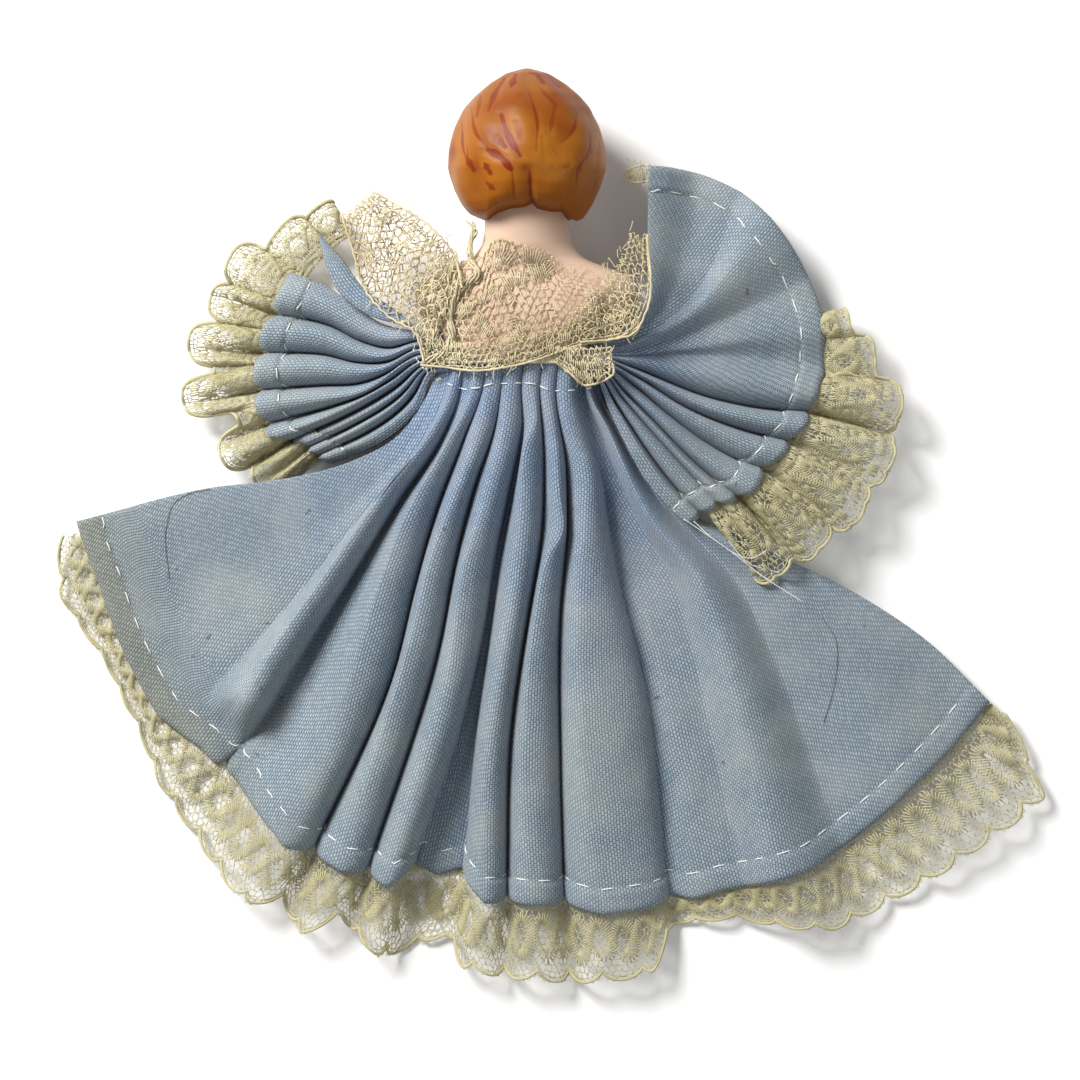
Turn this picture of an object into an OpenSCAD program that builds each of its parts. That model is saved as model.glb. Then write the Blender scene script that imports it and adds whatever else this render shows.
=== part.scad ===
// A small porcelain ornament doll in a pleated, lace-trimmed fan dress, lying on its face.
// +Z comes out of the doll's back, +Y runs towards the crown of its head, and z = 0 is the
// plane that it lies on. All sizes are in millimetres.

/* [Porcelain] */
// Width of the head with its moulded bob
head_w = 24.4; // [22:0.2:25]
// Width across the shoulders
shoulder_w = 35; // [30:0.5:36]
// Wall of the hollow casting
wall = 2; // [1.5:0.1:2.5]

/* [Skirt] */
// Thickness of a cloth panel with its turned hem
cloth_t = 0.8; // [0.5:0.1:1]
// Number of pleats across the middle of the skirt
skirt_pleats = 9; // [6:1:12]
// Height of a skirt pleat at the hem
skirt_pleat_h = 5.5; // [3:0.5:6]
// Thickness of the lace with its corded edge
lace_t = 0.7; // [0.4:0.1:0.9]

/* [Sleeves] */
// Number of pleats in the left sleeve fan
left_pleats = 8; // [6:1:10]
// Number of pleats in the right sleeve fan
right_pleats = 7; // [5:1:9]
// Height of a sleeve pleat at the hem
sleeve_pleat_h = 3.6; // [2:0.2:4]
// Distance of the hem stitching from the folded edge
stitch_in = 3.8; // [3:0.1:5]

/* [Hidden] */

body_x = -4.2;          // the doll's centre line, left of the middle of the spread dress
waist_y = 25;           // open lower edge of the porcelain
head_y = 58.5;          // widest part of the bob
head_z = head_w / 2;    // the bob's fringe touches the plane
thread_t = 0.4;

bisque = [0.86, 0.74, 0.68];
cloth_blue = [0.6, 0.68, 0.79];
lace_cream = [0.83, 0.8, 0.62];
thread_white = [0.93, 0.93, 0.9];

// ---- Porcelain ----

// Rings of the shoulder plate and neck: [y, half width, half depth, z of the middle]
torso = [
    [waist_y, 13.6, 5.8, 9.2], [29, 14.4, 6.4, 9.3], [33, shoulder_w / 2 - 1, 6.8, 9.4],
    [36.5, shoulder_w / 2, 6.2, 9.6], [38.8, shoulder_w / 2 - 1.2, 5.2, 9.8],
    [40.2, 12.4, 4.9, 10], [41.6, 8.8, 5.2, 10.3], [43.5, 7, 5.6, 10.7],
    [46, 6.5, 5.8, 11.1], [51, 6.5, 6, 11.6]];

// Rings of the hollow inside it, up into the head
hollow = [
    [waist_y - 1, 13.6 - wall, 5.8 - wall, 9.2], [33, shoulder_w / 2 - 1 - wall, 6.8 - wall, 9.4],
    [37, shoulder_w / 2 - 2 - wall, 5.6 - wall, 9.7], [39, 8, 2.8, 10], [41, 4.6, 3.2, 10.3],
    [49, 4.3, 3.8, 11.5], [53, 7, 7, 12], [59, 8.6, 8.6, 12], [65, 6.5, 6.5, 12], [68, 2, 2, 12]];

// Rings of the moulded bob, as [y, share of the head's half width]
bob = [for (r = [[46.8, 0.42], [48.4, 0.73], [50, 0.84], [52.3, 0.94], [55.4, 1], [58.5, 1],
    [61.6, 0.95], [64.7, 0.83], [66.6, 0.71], [68.4, 0.56], [70, 0.34], [70.9, 0.08]])
    [r[0], r[1] * head_w / 2, r[1] * head_w / 2, head_z]];

// Rings of an egg of the given half sizes
function egg(half_w, half_h, half_d, y, z, n = 14) = [
    for (i = [0:n]) let (a = -87 + 174 * i / n)
        [y + half_h * sin(a), half_w * cos(a), half_d * cos(a), z]];

function grown(rings, by) = [for (r = rings) [r[0], r[1] + by, r[2] + by, r[3]]];

// Closed body through rings about the centre line, ring by ring along +Y
module loft(rings, sides = 36) {
    points = [for (r = rings, k = [0:sides - 1]) let (a = 360 * k / sides)
        [body_x + r[1] * cos(a), r[0], r[3] + r[2] * sin(a)]];
    last = len(rings) - 1;
    walls = [for (i = [0:last - 1], k = [0:sides - 1])
        let (a = i * sides + k, b = i * sides + (k + 1) % sides)
        each [[a, b, b + sides], [a, b + sides, a + sides]]];
    ends = [[for (k = [sides - 1:-1:0]) k], [for (k = [0:sides - 1]) last * sides + k]];
    polyhedron(points = points, faces = concat(walls, ends), convexity = 6);
}

module slab(y_low, y_high, z_low, z_high) {
    translate([body_x - 60, y_low, z_low]) cube([120, y_high - y_low, z_high - z_low]);
}

module shoulder_head() {
    color(bisque) difference() {
        union() {
            loft(torso);
            loft(egg(head_w / 2 - 1.3, 11.2, head_z - 1, head_y - 0.6, head_z));
            // Moulded bob, open over the face
            difference() {
                loft(bob);
                loft(egg(8, 9, 7, head_y - 2.5, 0));
                slab(0, head_y - 10.6, 0, 9);
            }
            // Nose and chin
            loft(egg(1.2, 1.8, 1.3, head_y - 2.6, 1.3, 8), 16);
            loft(egg(2.6, 2, 2, head_y - 8.6, 4.4, 8), 16);
        }
        loft(hollow);
    }
}

// Pressed filling that closes the open casting and backs the tied cloth
module filler_plug() {
    color([0.72, 0.66, 0.55]) intersection() {
        loft(grown(hollow, -0.1));
        slab(waist_y, 35, 0, 30);
    }
}

// Thread wound round the porcelain's lower edge, under the gathers
module waist_tie() {
    color(thread_white) intersection() {
        difference() {
            loft(grown(torso, 0.7));
            loft(grown(torso, 0.05));
        }
        slab(waist_y + 0.2, waist_y + 1.8, 0, 30);
    }
}

// Lace laid over the back of the shoulders
module back_yoke_lace() {
    color(lace_cream) intersection() {
        difference() {
            loft(grown(torso, 0.1 + lace_t));
            loft(grown(torso, 0.1));
        }
        slab(waist_y + 2.1, 43, 9.5, 30);
    }
}

// Ragged cut end of the yoke lace, which hangs over the gathers
module yoke_lace_end() {
    color(lace_cream) translate([-0.6, 21.6, 15.9]) rotate([0, 0, 8])
        linear_extrude(lace_t) offset(r = 0.6) polygon([[0.5, 0], [3.5, 0.6], [4.2, 4.6], [0, 4]]);
}

// ---- Cloth and lace sheets ----

// Closed sheet of thickness t whose upper side is top_at(u, v), with u and v from 0 to 1
module sheet(top_at, cols, rows, t) {
    top = [for (i = [0:cols], j = [0:rows]) top_at(i / cols, j / rows)];
    n = len(top);
    row = rows + 1;
    function pair(a, b, c, d) = [[a, b, c], [a, c, d]];
    over = [for (i = [0:cols - 1], j = [0:rows - 1]) let (a = i * row + j)
        each pair(a, a + row, a + row + 1, a + 1)];
    under = [for (f = over) [f[2] + n, f[1] + n, f[0] + n]];
    rim = concat(
        [for (j = [0:rows - 1]) j],
        [for (i = [0:cols - 1]) i * row + rows],
        [for (j = [rows:-1:1]) cols * row + j],
        [for (i = [cols:-1:1]) i * row]);
    edge = [for (k = [0:len(rim) - 1]) let (a = rim[k], b = rim[(k + 1) % len(rim)])
        each pair(a, b, b + n, a + n)];
    polyhedron(points = concat(top, [for (p = top) p - [0, 0, t]]),
        faces = [for (f = concat(over, under, edge)) [f[2], f[1], f[0]]], convexity = 12);
}

function mix(a, b, t) = a + (b - a) * t;
function fade(t, from, to) = let (s = min(1, max(0, (t - from) / (to - from)))) s * s * (3 - 2 * s);
function polar(centre, a, r) = centre + r * [cos(a), sin(a)];
// Curve from a to b that leans towards mid + lean
function bow(a, b, lean, v) =
    pow(1 - v, 2) * a + 2 * v * (1 - v) * ((a + b) / 2 + lean) + v * v * b;
// 0 in a valley and 1 on a ridge, for a whole number of pleats as t goes from 0 to 1
function pleat(t, count) = (t < 0 || t > 1) ? 0 : 0.5 - 0.5 * cos(360 * count * t);

// Height of a lace's upper side where it is sewn under the hem of a cloth
function under(cloth, t) = cloth(t, 1)[2] - cloth_t - 0.05;

// Outlines: [angle about the fan's root, radius of the hem or of the lace's edge]
skirt_root = [-4.5, 23.6];
skirt_hem = [[198, 73.6], [206, 74], [214, 76], [223, 78.2], [234, 77.3], [239, 80], [244, 82.5],
    [248, 80.5], [256, 81.5], [260, 78], [265, 81.5], [274, 82.5], [278, 84.6], [291, 86],
    [300, 88.9], [314, 88], [325, 88.5]];
skirt_edge = [[199, 77], [205, 80.3], [214, 79.2], [222, 81.5], [228, 85.5], [235, 88.8],
    [242, 93.2], [245, 90], [248, 94], [251, 89], [256, 93.5], [262, 84], [264, 93], [271, 94],
    [276, 95], [282, 95.4], [285, 87.5], [291, 90], [299, 98.7], [306, 101], [314, 102],
    [321, 104.9], [324, 97], [325, 89]];
left_root = [-19.8, 26.5];
left_hem = [[134, 25], [155, 24.6], [171, 25.3], [183, 26], [195, 26.3], [207, 25.4], [217, 24]];
left_edge = [[134, 33], [150, 35], [172, 36.5], [189, 38.2], [206, 38], [211, 35], [217, 26]];
right_root = [6.2, 27];
right_hem = [[-58, 30.5], [-47, 31.5], [-36, 33], [-24, 33], [-15, 33.5], [-5, 36], [10, 36],
    [28, 35], [48, 34], [60, 32.5], [74, 30]];
right_edge = [[-52, 42], [-48, 45.5], [-38, 46], [-25, 49], [-13, 49], [-4, 45], [3, 41], [10, 37]];

// Skirt, from its left free edge at t = 0 to its right one at t = 1, and from the root out
skirt_a = [198, 325];
skirt_pleated = [0.27, 0.63];
skirt_cloth = function (t, v)
    let (a = mix(skirt_a[0], skirt_a[1], t),
        root = [mix(-17.5, 8.5, t), 23],
        lean = [0, -8 * (1 - fade(t, 0, 0.25)) + 4 * fade(t, 0.75, 1)],
        p = bow(root, polar(skirt_root, a, lookup(a, skirt_hem)), lean, v),
        back = mix(9.4, 8, t) + 4.6 * sin(180 * t),
        hem = 1.6 + 3 * (1 - fade(t, 0, 0.12)) + 1.6 * fade(t, 0.85, 1),
        fold = (t - skirt_pleated[0]) / (skirt_pleated[1] - skirt_pleated[0]))
    [p[0], p[1], mix(back, hem, v) + mix(0.6, skirt_pleat_h, fade(v, 0, 0.8)) * pleat(fold, skirt_pleats)];

module skirt_panel() {
    color(cloth_blue) sheet(skirt_cloth, 100, 7, cloth_t);
}

// Lace sewn behind the hem, spread flat on the plane that the doll lies on
module skirt_lace() {
    last = len(skirt_edge) - 1;
    function inside(a) = polar(skirt_root, a, lookup(a, skirt_hem) - 2);
    color(lace_cream) linear_extrude(lace_t) polygon(concat(
        [for (e = skirt_edge) polar(skirt_root, e[0], e[1])],
        [for (a = [skirt_a[1]:-3:skirt_a[0]]) inside(a)]));
}

// A narrow strip of stitching on a cloth, as far in from its hem as stitch_in
module hem_thread(cloth, radius, cols) {
    v = 1 - stitch_in / radius;
    color(thread_white) translate([0, 0, thread_t + 0.05])
        sheet(function (t, w) cloth(mix(0.01, 0.99, t), v + w * thread_t / radius), cols, 1, thread_t);
}

// Stitching across the pleats close to the root
module gather_thread(cloth, v, radius, cols) {
    color(thread_white) translate([0, 0, thread_t + 0.05])
        sheet(function (t, w) cloth(mix(0.08, 0.92, t), v + w * thread_t / radius), cols, 1, thread_t);
}

module skirt_hem_thread() { hem_thread(skirt_cloth, 80, 100); }
module skirt_gather_thread() { gather_thread(skirt_cloth, 0.02, 80, 100); }

// Left sleeve fan, from its upper end at t = 0 down to the skirt at t = 1
left_a = [134, 217];
left_cloth = function (t, v)
    let (a = mix(left_a[0], left_a[1], t),
        root = [-21, mix(30, 23.6, t)],
        p = bow(root, polar(left_root, a, lookup(a, left_hem)), [0, -2 * t], v),
        hem = mix(3.8, 1.7, t))
    [p[0], p[1], mix(7.6, hem, v)
        + mix(0.5, mix(sleeve_pleat_h, 2.4, t), fade(v, 0, 0.8)) * pleat(t, left_pleats)];

left_trim = function (t, v)
    let (a = mix(left_a[0], left_a[1], t),
        p = polar(left_root, a, mix(lookup(a, left_hem) - 2, lookup(a, left_edge), v)))
    [p[0], p[1], mix(under(left_cloth, t), lace_t + 1.6 * (1 - t) * pleat(t, left_pleats), v)];

module left_sleeve_panel() { color(cloth_blue) sheet(left_cloth, 64, 4, cloth_t); }
module left_sleeve_lace() {
    color(lace_cream) sheet(left_trim, 64, 2, lace_t);
}
module left_sleeve_hem_thread() { hem_thread(left_cloth, 25, 64); }
module left_sleeve_gather_thread() { gather_thread(left_cloth, 0.12, 25, 64); }

// Lace that runs from the left shoulder out over the sleeve's upper pleats
module left_shoulder_lace() {
    color(lace_cream) sheet(function (t, v)
        [mix(mix(-22.5, -25.4, t), mix(-24.5, -33, t), v), mix(mix(30.5, 39, t), mix(30.8, 48.5, t), v),
            mix(12.2, mix(9.6, 8.6, t), v)], 6, 6, lace_t);
}

// Right sleeve fan, from its lower end on the skirt at t = 0 up to its broad end panel at t = 1
right_a = [-58, 74];
right_pleated = 0.4;
right_cloth = function (t, v)
    let (a = mix(right_a[0], right_a[1], t),
        root = [7.6, mix(24, 28.6, t)],
        p = bow(root, polar(right_root, a, lookup(a, right_hem)), fade(t, 0.55, 1) * [7.6, -10], v),
        hem = 8.9 - 4.5 * fade(t, 0.1, 0.5) + 4.5 * fade(t, 0.6, 1),
        over_bust = 5.2 * (1 - fade(v, 0, 0.36)))
    [p[0], p[1], mix(10.8, hem, v) + over_bust
        + mix(0.5, sleeve_pleat_h, fade(v, 0, 0.8)) * pleat(t / right_pleated, right_pleats)];

right_trim = function (t, v)
    let (a = mix(right_edge[0][0], 9, t),
        at_hem = (a - right_a[0]) / (right_a[1] - right_a[0]),
        p = polar(right_root, a, mix(lookup(a, right_hem) - 2, lookup(a, right_edge), v)))
    [p[0], p[1], mix(under(right_cloth, at_hem) - 0.25, mix(9.4, 1.4, fade(t, 0.1, 0.6)) + 2 * pleat(t, 5), v)];

module right_sleeve_panel() { color(cloth_blue) sheet(right_cloth, 90, 6, cloth_t); }
module right_sleeve_lace() {
    color(lace_cream) sheet(right_trim, 56, 3, lace_t);
}
module right_sleeve_hem_thread() { hem_thread(right_cloth, 34, 90); }
module right_sleeve_gather_thread() { gather_thread(right_cloth, 0.1, 34, 90); }

// Lace that climbs from the yoke along the inner edge of the right sleeve
module right_shoulder_lace() {
    color(lace_cream) sheet(function (t, v)
        [mix(mix(9, 11.5, t), mix(13.6, 14, t), v), mix(mix(30.4, 41, t), mix(33, 44.5, t), v),
            mix(17.2, 15.5, v) - 2 * t], 6, 4, lace_t);
}

shoulder_head();
filler_plug();
waist_tie();
back_yoke_lace();
yoke_lace_end();
skirt_panel();
skirt_lace();
skirt_hem_thread();
skirt_gather_thread();
left_sleeve_panel();
left_sleeve_lace();
left_sleeve_hem_thread();
left_sleeve_gather_thread();
left_shoulder_lace();
right_sleeve_panel();
right_sleeve_lace();
right_sleeve_hem_thread();
right_sleeve_gather_thread();
right_shoulder_lace();
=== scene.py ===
import math
import bpy
import numpy as np
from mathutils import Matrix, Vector


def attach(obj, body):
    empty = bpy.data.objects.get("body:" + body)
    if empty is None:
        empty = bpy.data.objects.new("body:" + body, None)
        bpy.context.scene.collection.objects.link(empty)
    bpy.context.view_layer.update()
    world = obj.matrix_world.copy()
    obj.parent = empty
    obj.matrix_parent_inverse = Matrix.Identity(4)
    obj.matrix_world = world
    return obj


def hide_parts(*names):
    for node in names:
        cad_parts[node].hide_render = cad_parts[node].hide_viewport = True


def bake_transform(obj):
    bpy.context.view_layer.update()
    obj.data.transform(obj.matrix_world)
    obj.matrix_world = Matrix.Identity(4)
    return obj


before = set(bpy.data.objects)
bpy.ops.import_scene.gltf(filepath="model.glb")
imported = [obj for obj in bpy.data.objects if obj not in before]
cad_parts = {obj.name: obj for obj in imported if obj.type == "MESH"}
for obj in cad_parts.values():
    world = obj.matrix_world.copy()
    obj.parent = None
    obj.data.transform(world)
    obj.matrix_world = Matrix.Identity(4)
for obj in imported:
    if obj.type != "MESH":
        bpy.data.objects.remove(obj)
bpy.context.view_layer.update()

# Lengths are in millimetres until a mesh is made, +Y to the crown, +Z out of the back.
MM = 0.001
SEED = 11
rng = np.random.default_rng(SEED)
scene = bpy.context.scene

# ---- driving dimensions
BODY_X = -4.2            # middle of the bust
CROWN_Y = 70.9
BOB_R = 12.2             # the bob's half width
BOB_Z = 12.2
CLOTH_T = 0.26           # thickness of the blue cloth
HEM_BAND = 3.9           # the turned hem, up to its running stitch
SKIRT_CENTRE = np.array([-4.5, 23.6])
LEFT_CENTRE = np.array([-19.8, 26.5])
RIGHT_CENTRE = np.array([6.2, 27.0])
WEAVE_ACROSS = 0.46      # from one warp thread to the next
WEAVE_ALONG = 0.70       # how long a warp thread shows between two crossings
MISSED = 0.0             # share of the stitches that are missing


# ---- curves and surfaces
def mix(a, b, s):
    return a + (b - a) * s


def fade(v, a, b):
    s = np.clip((v - a) / (b - a), 0, 1)
    return s * s * (3 - 2 * s)


def shares(count):
    return np.linspace(0, 1, count)


def distance_along(points):
    """How far along a line each of its points is."""
    return np.r_[0, np.cumsum(np.linalg.norm(np.diff(points, axis=0), axis=1))]


def raised(xy, z):
    return np.concatenate([xy, z[..., None]], -1)


def spline(points, v):
    """A smooth curve through points, at the shares v of its length."""
    p = np.array(points, float)
    d = distance_along(p)
    d /= d[-1]
    slope = np.gradient(p, d, axis=0)
    k = np.clip(np.searchsorted(d, v, side="right") - 1, 0, len(d) - 2)
    h = (d[k + 1] - d[k])[:, None]
    s = ((v - d[k])[:, None]) / h
    start = (2 * s**3 - 3 * s**2 + 1) * p[k] + (s**3 - 2 * s**2 + s) * h * slope[k]
    end = (3 * s**2 - 2 * s**3) * p[k + 1] + (s**3 - s**2) * h * slope[k + 1]
    return start + end


def table(rows, x):
    """A curve through [x, y] rows."""
    rows = np.array(rows, float)
    return np.interp(x, rows[:, 0], rows[:, 1])


def unit(v):
    return v / np.maximum(np.linalg.norm(v, axis=-1, keepdims=True), 1e-9)


def normals(grid):
    down = np.gradient(grid, axis=0)
    across = np.gradient(grid, axis=1)
    n = unit(np.cross(across, down))
    return -n if n[..., 2].mean() < 0 else n


def placed(name, data):
    obj = bpy.data.objects.new(name, data)
    scene.collection.objects.link(obj)
    return obj


def make_mesh(name, verts, faces, material, uv=None, colour=None):
    mesh = bpy.data.meshes.new(name)
    verts = np.asarray(verts, float) * MM
    faces = np.asarray(faces, np.int32)
    mesh.vertices.add(len(verts))
    mesh.vertices.foreach_set("co", verts.ravel())
    mesh.loops.add(faces.size)
    mesh.loops.foreach_set("vertex_index", faces.ravel())
    mesh.polygons.add(len(faces))
    starts = np.arange(0, faces.size, faces.shape[1], dtype=np.int32)
    mesh.polygons.foreach_set("loop_start", starts)
    if uv is not None:
        layer = mesh.uv_layers.new(name="weave")
        layer.data.foreach_set("uv", np.asarray(uv, np.float32).ravel())
    if colour is not None:
        layer = mesh.color_attributes.new("tint", "FLOAT_COLOR", "POINT")
        layer.data.foreach_set("color", np.asarray(colour, np.float32).ravel())
    mesh.update(calc_edges=True)
    mesh.validate()
    mesh.shade_smooth()
    mesh.materials.append(material)
    return placed(name, mesh)


def grid_faces(rows, cols, wrap=False):
    j, i = np.meshgrid(np.arange(rows - 1), np.arange(cols if wrap else cols - 1), indexing="ij")
    nxt = (i + 1) % cols
    a, b = j * cols + i, j * cols + nxt
    return np.stack([a, b, b + cols, a + cols], -1).reshape(-1, 4)


def shell(name, grid, thick, uv_sides, tint, material):
    """A closed thin cloth from a grid of points; uv_sides are each quad's four UV corners."""
    rows, cols = grid.shape[:2]
    n = normals(grid)
    verts = np.concatenate([grid.reshape(-1, 3), (grid - n * thick).reshape(-1, 3)])
    top = grid_faces(rows, cols)
    count = rows * cols
    a, b, _, d = verts[top].swapaxes(0, 1)
    up = np.cross(b - a, d - a)[:, 2].mean()
    order = [0, 1, 2, 3] if up > 0 else [0, 3, 2, 1]
    top_uv = uv_sides.reshape(-1, 4, 2)
    idx = np.arange(count).reshape(rows, cols)
    rim = np.concatenate([idx[0, :], idx[1:, -1], idx[-1, -2::-1], idx[-2:0:-1, 0]])
    rim_next = np.roll(rim, -1)
    sides = np.stack([rim, rim + count, rim_next + count, rim_next], -1)
    if up > 0:
        sides = sides[:, ::-1]
    faces = np.concatenate([top[:, order], (top + count)[:, order[::-1]], sides[:, ::-1]])
    side_uv = np.zeros((len(sides), 4, 2))
    uv = np.concatenate([top_uv[:, order], top_uv[:, order[::-1]], side_uv])
    colour = np.concatenate([tint.reshape(-1, 4)] * 2)
    return make_mesh(name, verts, faces, material, uv, colour)


# ---- threads
class Threads:
    """Gathers many thin closed strands into one mesh."""

    def __init__(self, name):
        self.name, self.verts, self.faces, self.count = name, [], [], 0

    def add(self, paths, ups, half_width, half_thick, sides=4):
        """paths and ups are (strands, points, 3); each strand is a closed tube with flat ends."""
        paths, ups = np.asarray(paths, float), np.asarray(ups, float)
        if paths.ndim == 2:
            paths, ups = paths[None], ups[None]
        strands, points = paths.shape[:2]
        if strands == 0:
            return
        along = unit(np.gradient(paths, axis=1))
        side = unit(np.cross(along, ups))
        up = unit(np.cross(side, along))
        turn = 2 * math.pi * (np.arange(sides) + 0.5) / sides
        w = np.broadcast_to(np.asarray(half_width, float), (strands, points))[:, :, None, None]
        t = np.broadcast_to(np.asarray(half_thick, float), (strands, points))[:, :, None, None]
        stretch = 1 / math.cos(math.pi / sides)
        ring = (paths[:, :, None] + side[:, :, None] * np.cos(turn)[:, None] * w * stretch
                + up[:, :, None] * np.sin(turn)[:, None] * t * stretch)
        base = self.count + np.arange(strands)[:, None, None] * points * sides
        k = np.arange(points - 1)[None, :, None] * sides
        s = np.arange(sides)[None, None, :]
        s2 = (s + 1) % sides
        near, far = base + k + s, base + k + s2
        quads = np.stack([near, far, far + sides, near + sides], -1)
        self.faces.append(quads.reshape(-1, 4))
        if sides == 4:
            first = base[:, 0, 0][:, None] + np.array([3, 2, 1, 0])
            last = base[:, 0, 0][:, None] + (points - 1) * sides + np.array([0, 1, 2, 3])
            self.faces.append(first)
            self.faces.append(last)
        self.verts.append(ring.reshape(-1, 3))
        self.count += strands * points * sides

    def build(self, material):
        verts, faces = np.concatenate(self.verts), np.concatenate(self.faces)
        return make_mesh(self.name, verts, faces, material)


# ---- materials
def linear(r, g, b):
    """An 8-bit screen colour as a linear one."""
    c = np.array([r, g, b]) / 255
    return (*np.where(c <= 0.04045, c / 12.92, ((c + 0.055) / 1.055) ** 2.4), 1.0)


class Shader:
    """A few short words for building a node material."""

    def __init__(self, name, roughness, **sockets):
        self.mat = bpy.data.materials.new(name)
        self.mat.use_nodes = True
        self.tree = self.mat.node_tree
        self.bsdf = self.tree.nodes["Principled BSDF"]
        self.bsdf.inputs["Roughness"].default_value = roughness
        for key, value in sockets.items():
            self.bsdf.inputs[key.replace("_", " ")].default_value = value

    def node(self, kind, ins=(), **props):
        n = self.tree.nodes.new(kind)
        for key, value in props.items():
            setattr(n, key, value)
        for key, value in dict(ins).items():
            if isinstance(value, bpy.types.NodeSocket):
                self.tree.links.new(value, n.inputs[key])
            else:
                n.inputs[key].default_value = value
        return n

    def math(self, what, a, b):
        return self.node("ShaderNodeMath", {0: a, 1: b}, operation=what).outputs[0]

    def vector(self, what, a, b, socket=1):
        return self.node("ShaderNodeVectorMath", {0: a, socket: b}, operation=what).outputs[0]

    def tint(self):
        """The colour that a mesh carries at its points."""
        node = self.node("ShaderNodeAttribute", attribute_name="tint", attribute_type="GEOMETRY")
        return node.outputs["Color"]

    def mix(self, a, b, share, blend="MIX"):
        n = self.node("ShaderNodeMix", {0: share, 6: a, 7: b}, data_type="RGBA", blend_type=blend)
        return n.outputs[2]

    def noise(self, scale, detail):
        place = self.node("ShaderNodeTexCoord").outputs["Object"]
        ins = {"Vector": place, "Scale": scale, "Detail": detail}
        return self.node("ShaderNodeTexNoise", ins).outputs["Fac"]

    def ramp(self, value, low, high):
        ins = {0: value, 1: low, 2: high}
        return self.node("ShaderNodeMapRange", ins, interpolation_type="SMOOTHSTEP").outputs[0]

    def bump(self, height, strength, distance_mm):
        ins = {"Height": height, "Strength": strength, "Distance": distance_mm * MM}
        n = self.node("ShaderNodeBump", ins)
        self.tree.links.new(n.outputs[0], self.bsdf.inputs["Normal"])

    def finish(self, colour):
        self.tree.links.new(colour, self.bsdf.inputs["Base Color"])
        return self.mat


def cloth_material():
    s = Shader("blue_chambray", 0.86, Sheen_Weight=0.18, Sheen_Roughness=0.5,
               Specular_IOR_Level=0.25)
    uv = s.node("ShaderNodeUVMap", uv_map="weave").outputs[0]
    split = s.node("ShaderNodeSeparateXYZ", {0: uv})
    turned = s.node("ShaderNodeCombineXYZ", {0: split.outputs[1], 1: split.outputs[0]}).outputs[0]
    ins = {"Vector": turned, "Scale": 0.35, "Detail": 2.0}
    wobble = s.node("ShaderNodeTexNoise", ins).outputs["Color"]
    shift = s.vector("SCALE", s.vector("SUBTRACT", wobble, (0.5, 0.5, 0.5)), 0.5, "Scale")
    place = s.vector("ADD", turned, shift)
    white, grey, blue = linear(161, 169, 175), linear(139, 149, 159), linear(83, 98, 119)
    brick = s.node("ShaderNodeTexBrick", {
        "Vector": place, "Color1": white, "Color2": grey, "Mortar": blue, "Scale": 1.0,
        "Mortar Size": 0.13, "Mortar Smooth": 0.9, "Bias": 0.0,
        "Brick Width": WEAVE_ALONG, "Row Height": WEAVE_ACROSS}, offset=0.5)
    # the tint carries the cloth's painted shade in the gathers and slits, and the hem's real stain
    colour = s.mix(brick.outputs["Color"], s.tint(), 1.0, "MULTIPLY")
    blotch = s.ramp(s.noise(90.0, 4.0), 0.35, 0.75)
    colour = s.mix(colour, s.mix(colour, linear(176, 176, 170), 0.28), blotch)
    speck = s.ramp(s.noise(620.0, 1.0), 0.76, 0.80)
    colour = s.mix(colour, linear(60, 62, 60), s.math("MULTIPLY", speck, 0.55))
    thread = s.math("SUBTRACT", 1.0, brick.outputs["Fac"])
    fuzz = s.noise(9000.0, 2.0)
    s.bump(s.math("ADD", thread, s.math("MULTIPLY", fuzz, 0.35)), 0.75, 0.09)
    return s.finish(colour)


def thread_material(name, light, dark, scale=2600.0, through=0.0):
    """Cream or white thread; through is the share of light that comes through it."""
    s = Shader(name, 0.8, Sheen_Weight=0.1, Specular_IOR_Level=0.3)
    patches = s.ramp(s.noise(110.0, 3.0), 0.3, 0.72)
    fibre = s.ramp(s.noise(scale, 2.0), 0.25, 0.8)
    share = s.math("ADD", s.math("MULTIPLY", patches, 0.6), s.math("MULTIPLY", fibre, 0.35))
    colour = s.mix(linear(*light), linear(*dark), share)
    s.bump(fibre, 0.6, 0.05)
    mat = s.finish(colour)
    if through:
        lit = s.node("ShaderNodeBsdfTranslucent", {"Color": linear(*light)})
        both = s.node("ShaderNodeMixShader", {0: through, 1: s.bsdf.outputs[0], 2: lit.outputs[0]})
        out = next(n for n in s.tree.nodes if n.type == "OUTPUT_MATERIAL")
        s.tree.links.new(both.outputs[0], out.inputs[0])
    return mat


def bisque_material():
    """Painted bisque: the skin, hair and face colours, with painted shade on the neck and painted
    light and shade over the hair, are in the piece's own tint.
    """
    s = Shader("painted_bisque", 0.42, Subsurface_Weight=0.05, Specular_IOR_Level=0.16)
    s.bsdf.inputs["Subsurface Scale"].default_value = 0.8 * MM
    tint = s.tint()
    cloud = s.ramp(s.noise(160.0, 4.0), 0.3, 0.75)
    colour = s.mix(tint, s.mix(tint, linear(120, 50, 20), 0.10), cloud)
    grit = s.ramp(s.noise(1500.0, 2.0), 0.68, 0.74)
    colour = s.mix(colour, s.mix(colour, linear(90, 55, 40), 0.5), s.math("MULTIPLY", grit, 0.3))
    s.bump(s.noise(2200.0, 3.0), 0.25, 0.03)
    return s.finish(colour)


def plain_material(name, light, dark, rough, scale):
    s = Shader(name, rough)
    colour = s.mix(linear(*light), linear(*dark), s.ramp(s.noise(scale, 4.0), 0.3, 0.7))
    s.bump(s.noise(scale * 4, 3.0), 0.5, 0.08)
    return s.finish(colour)


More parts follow.
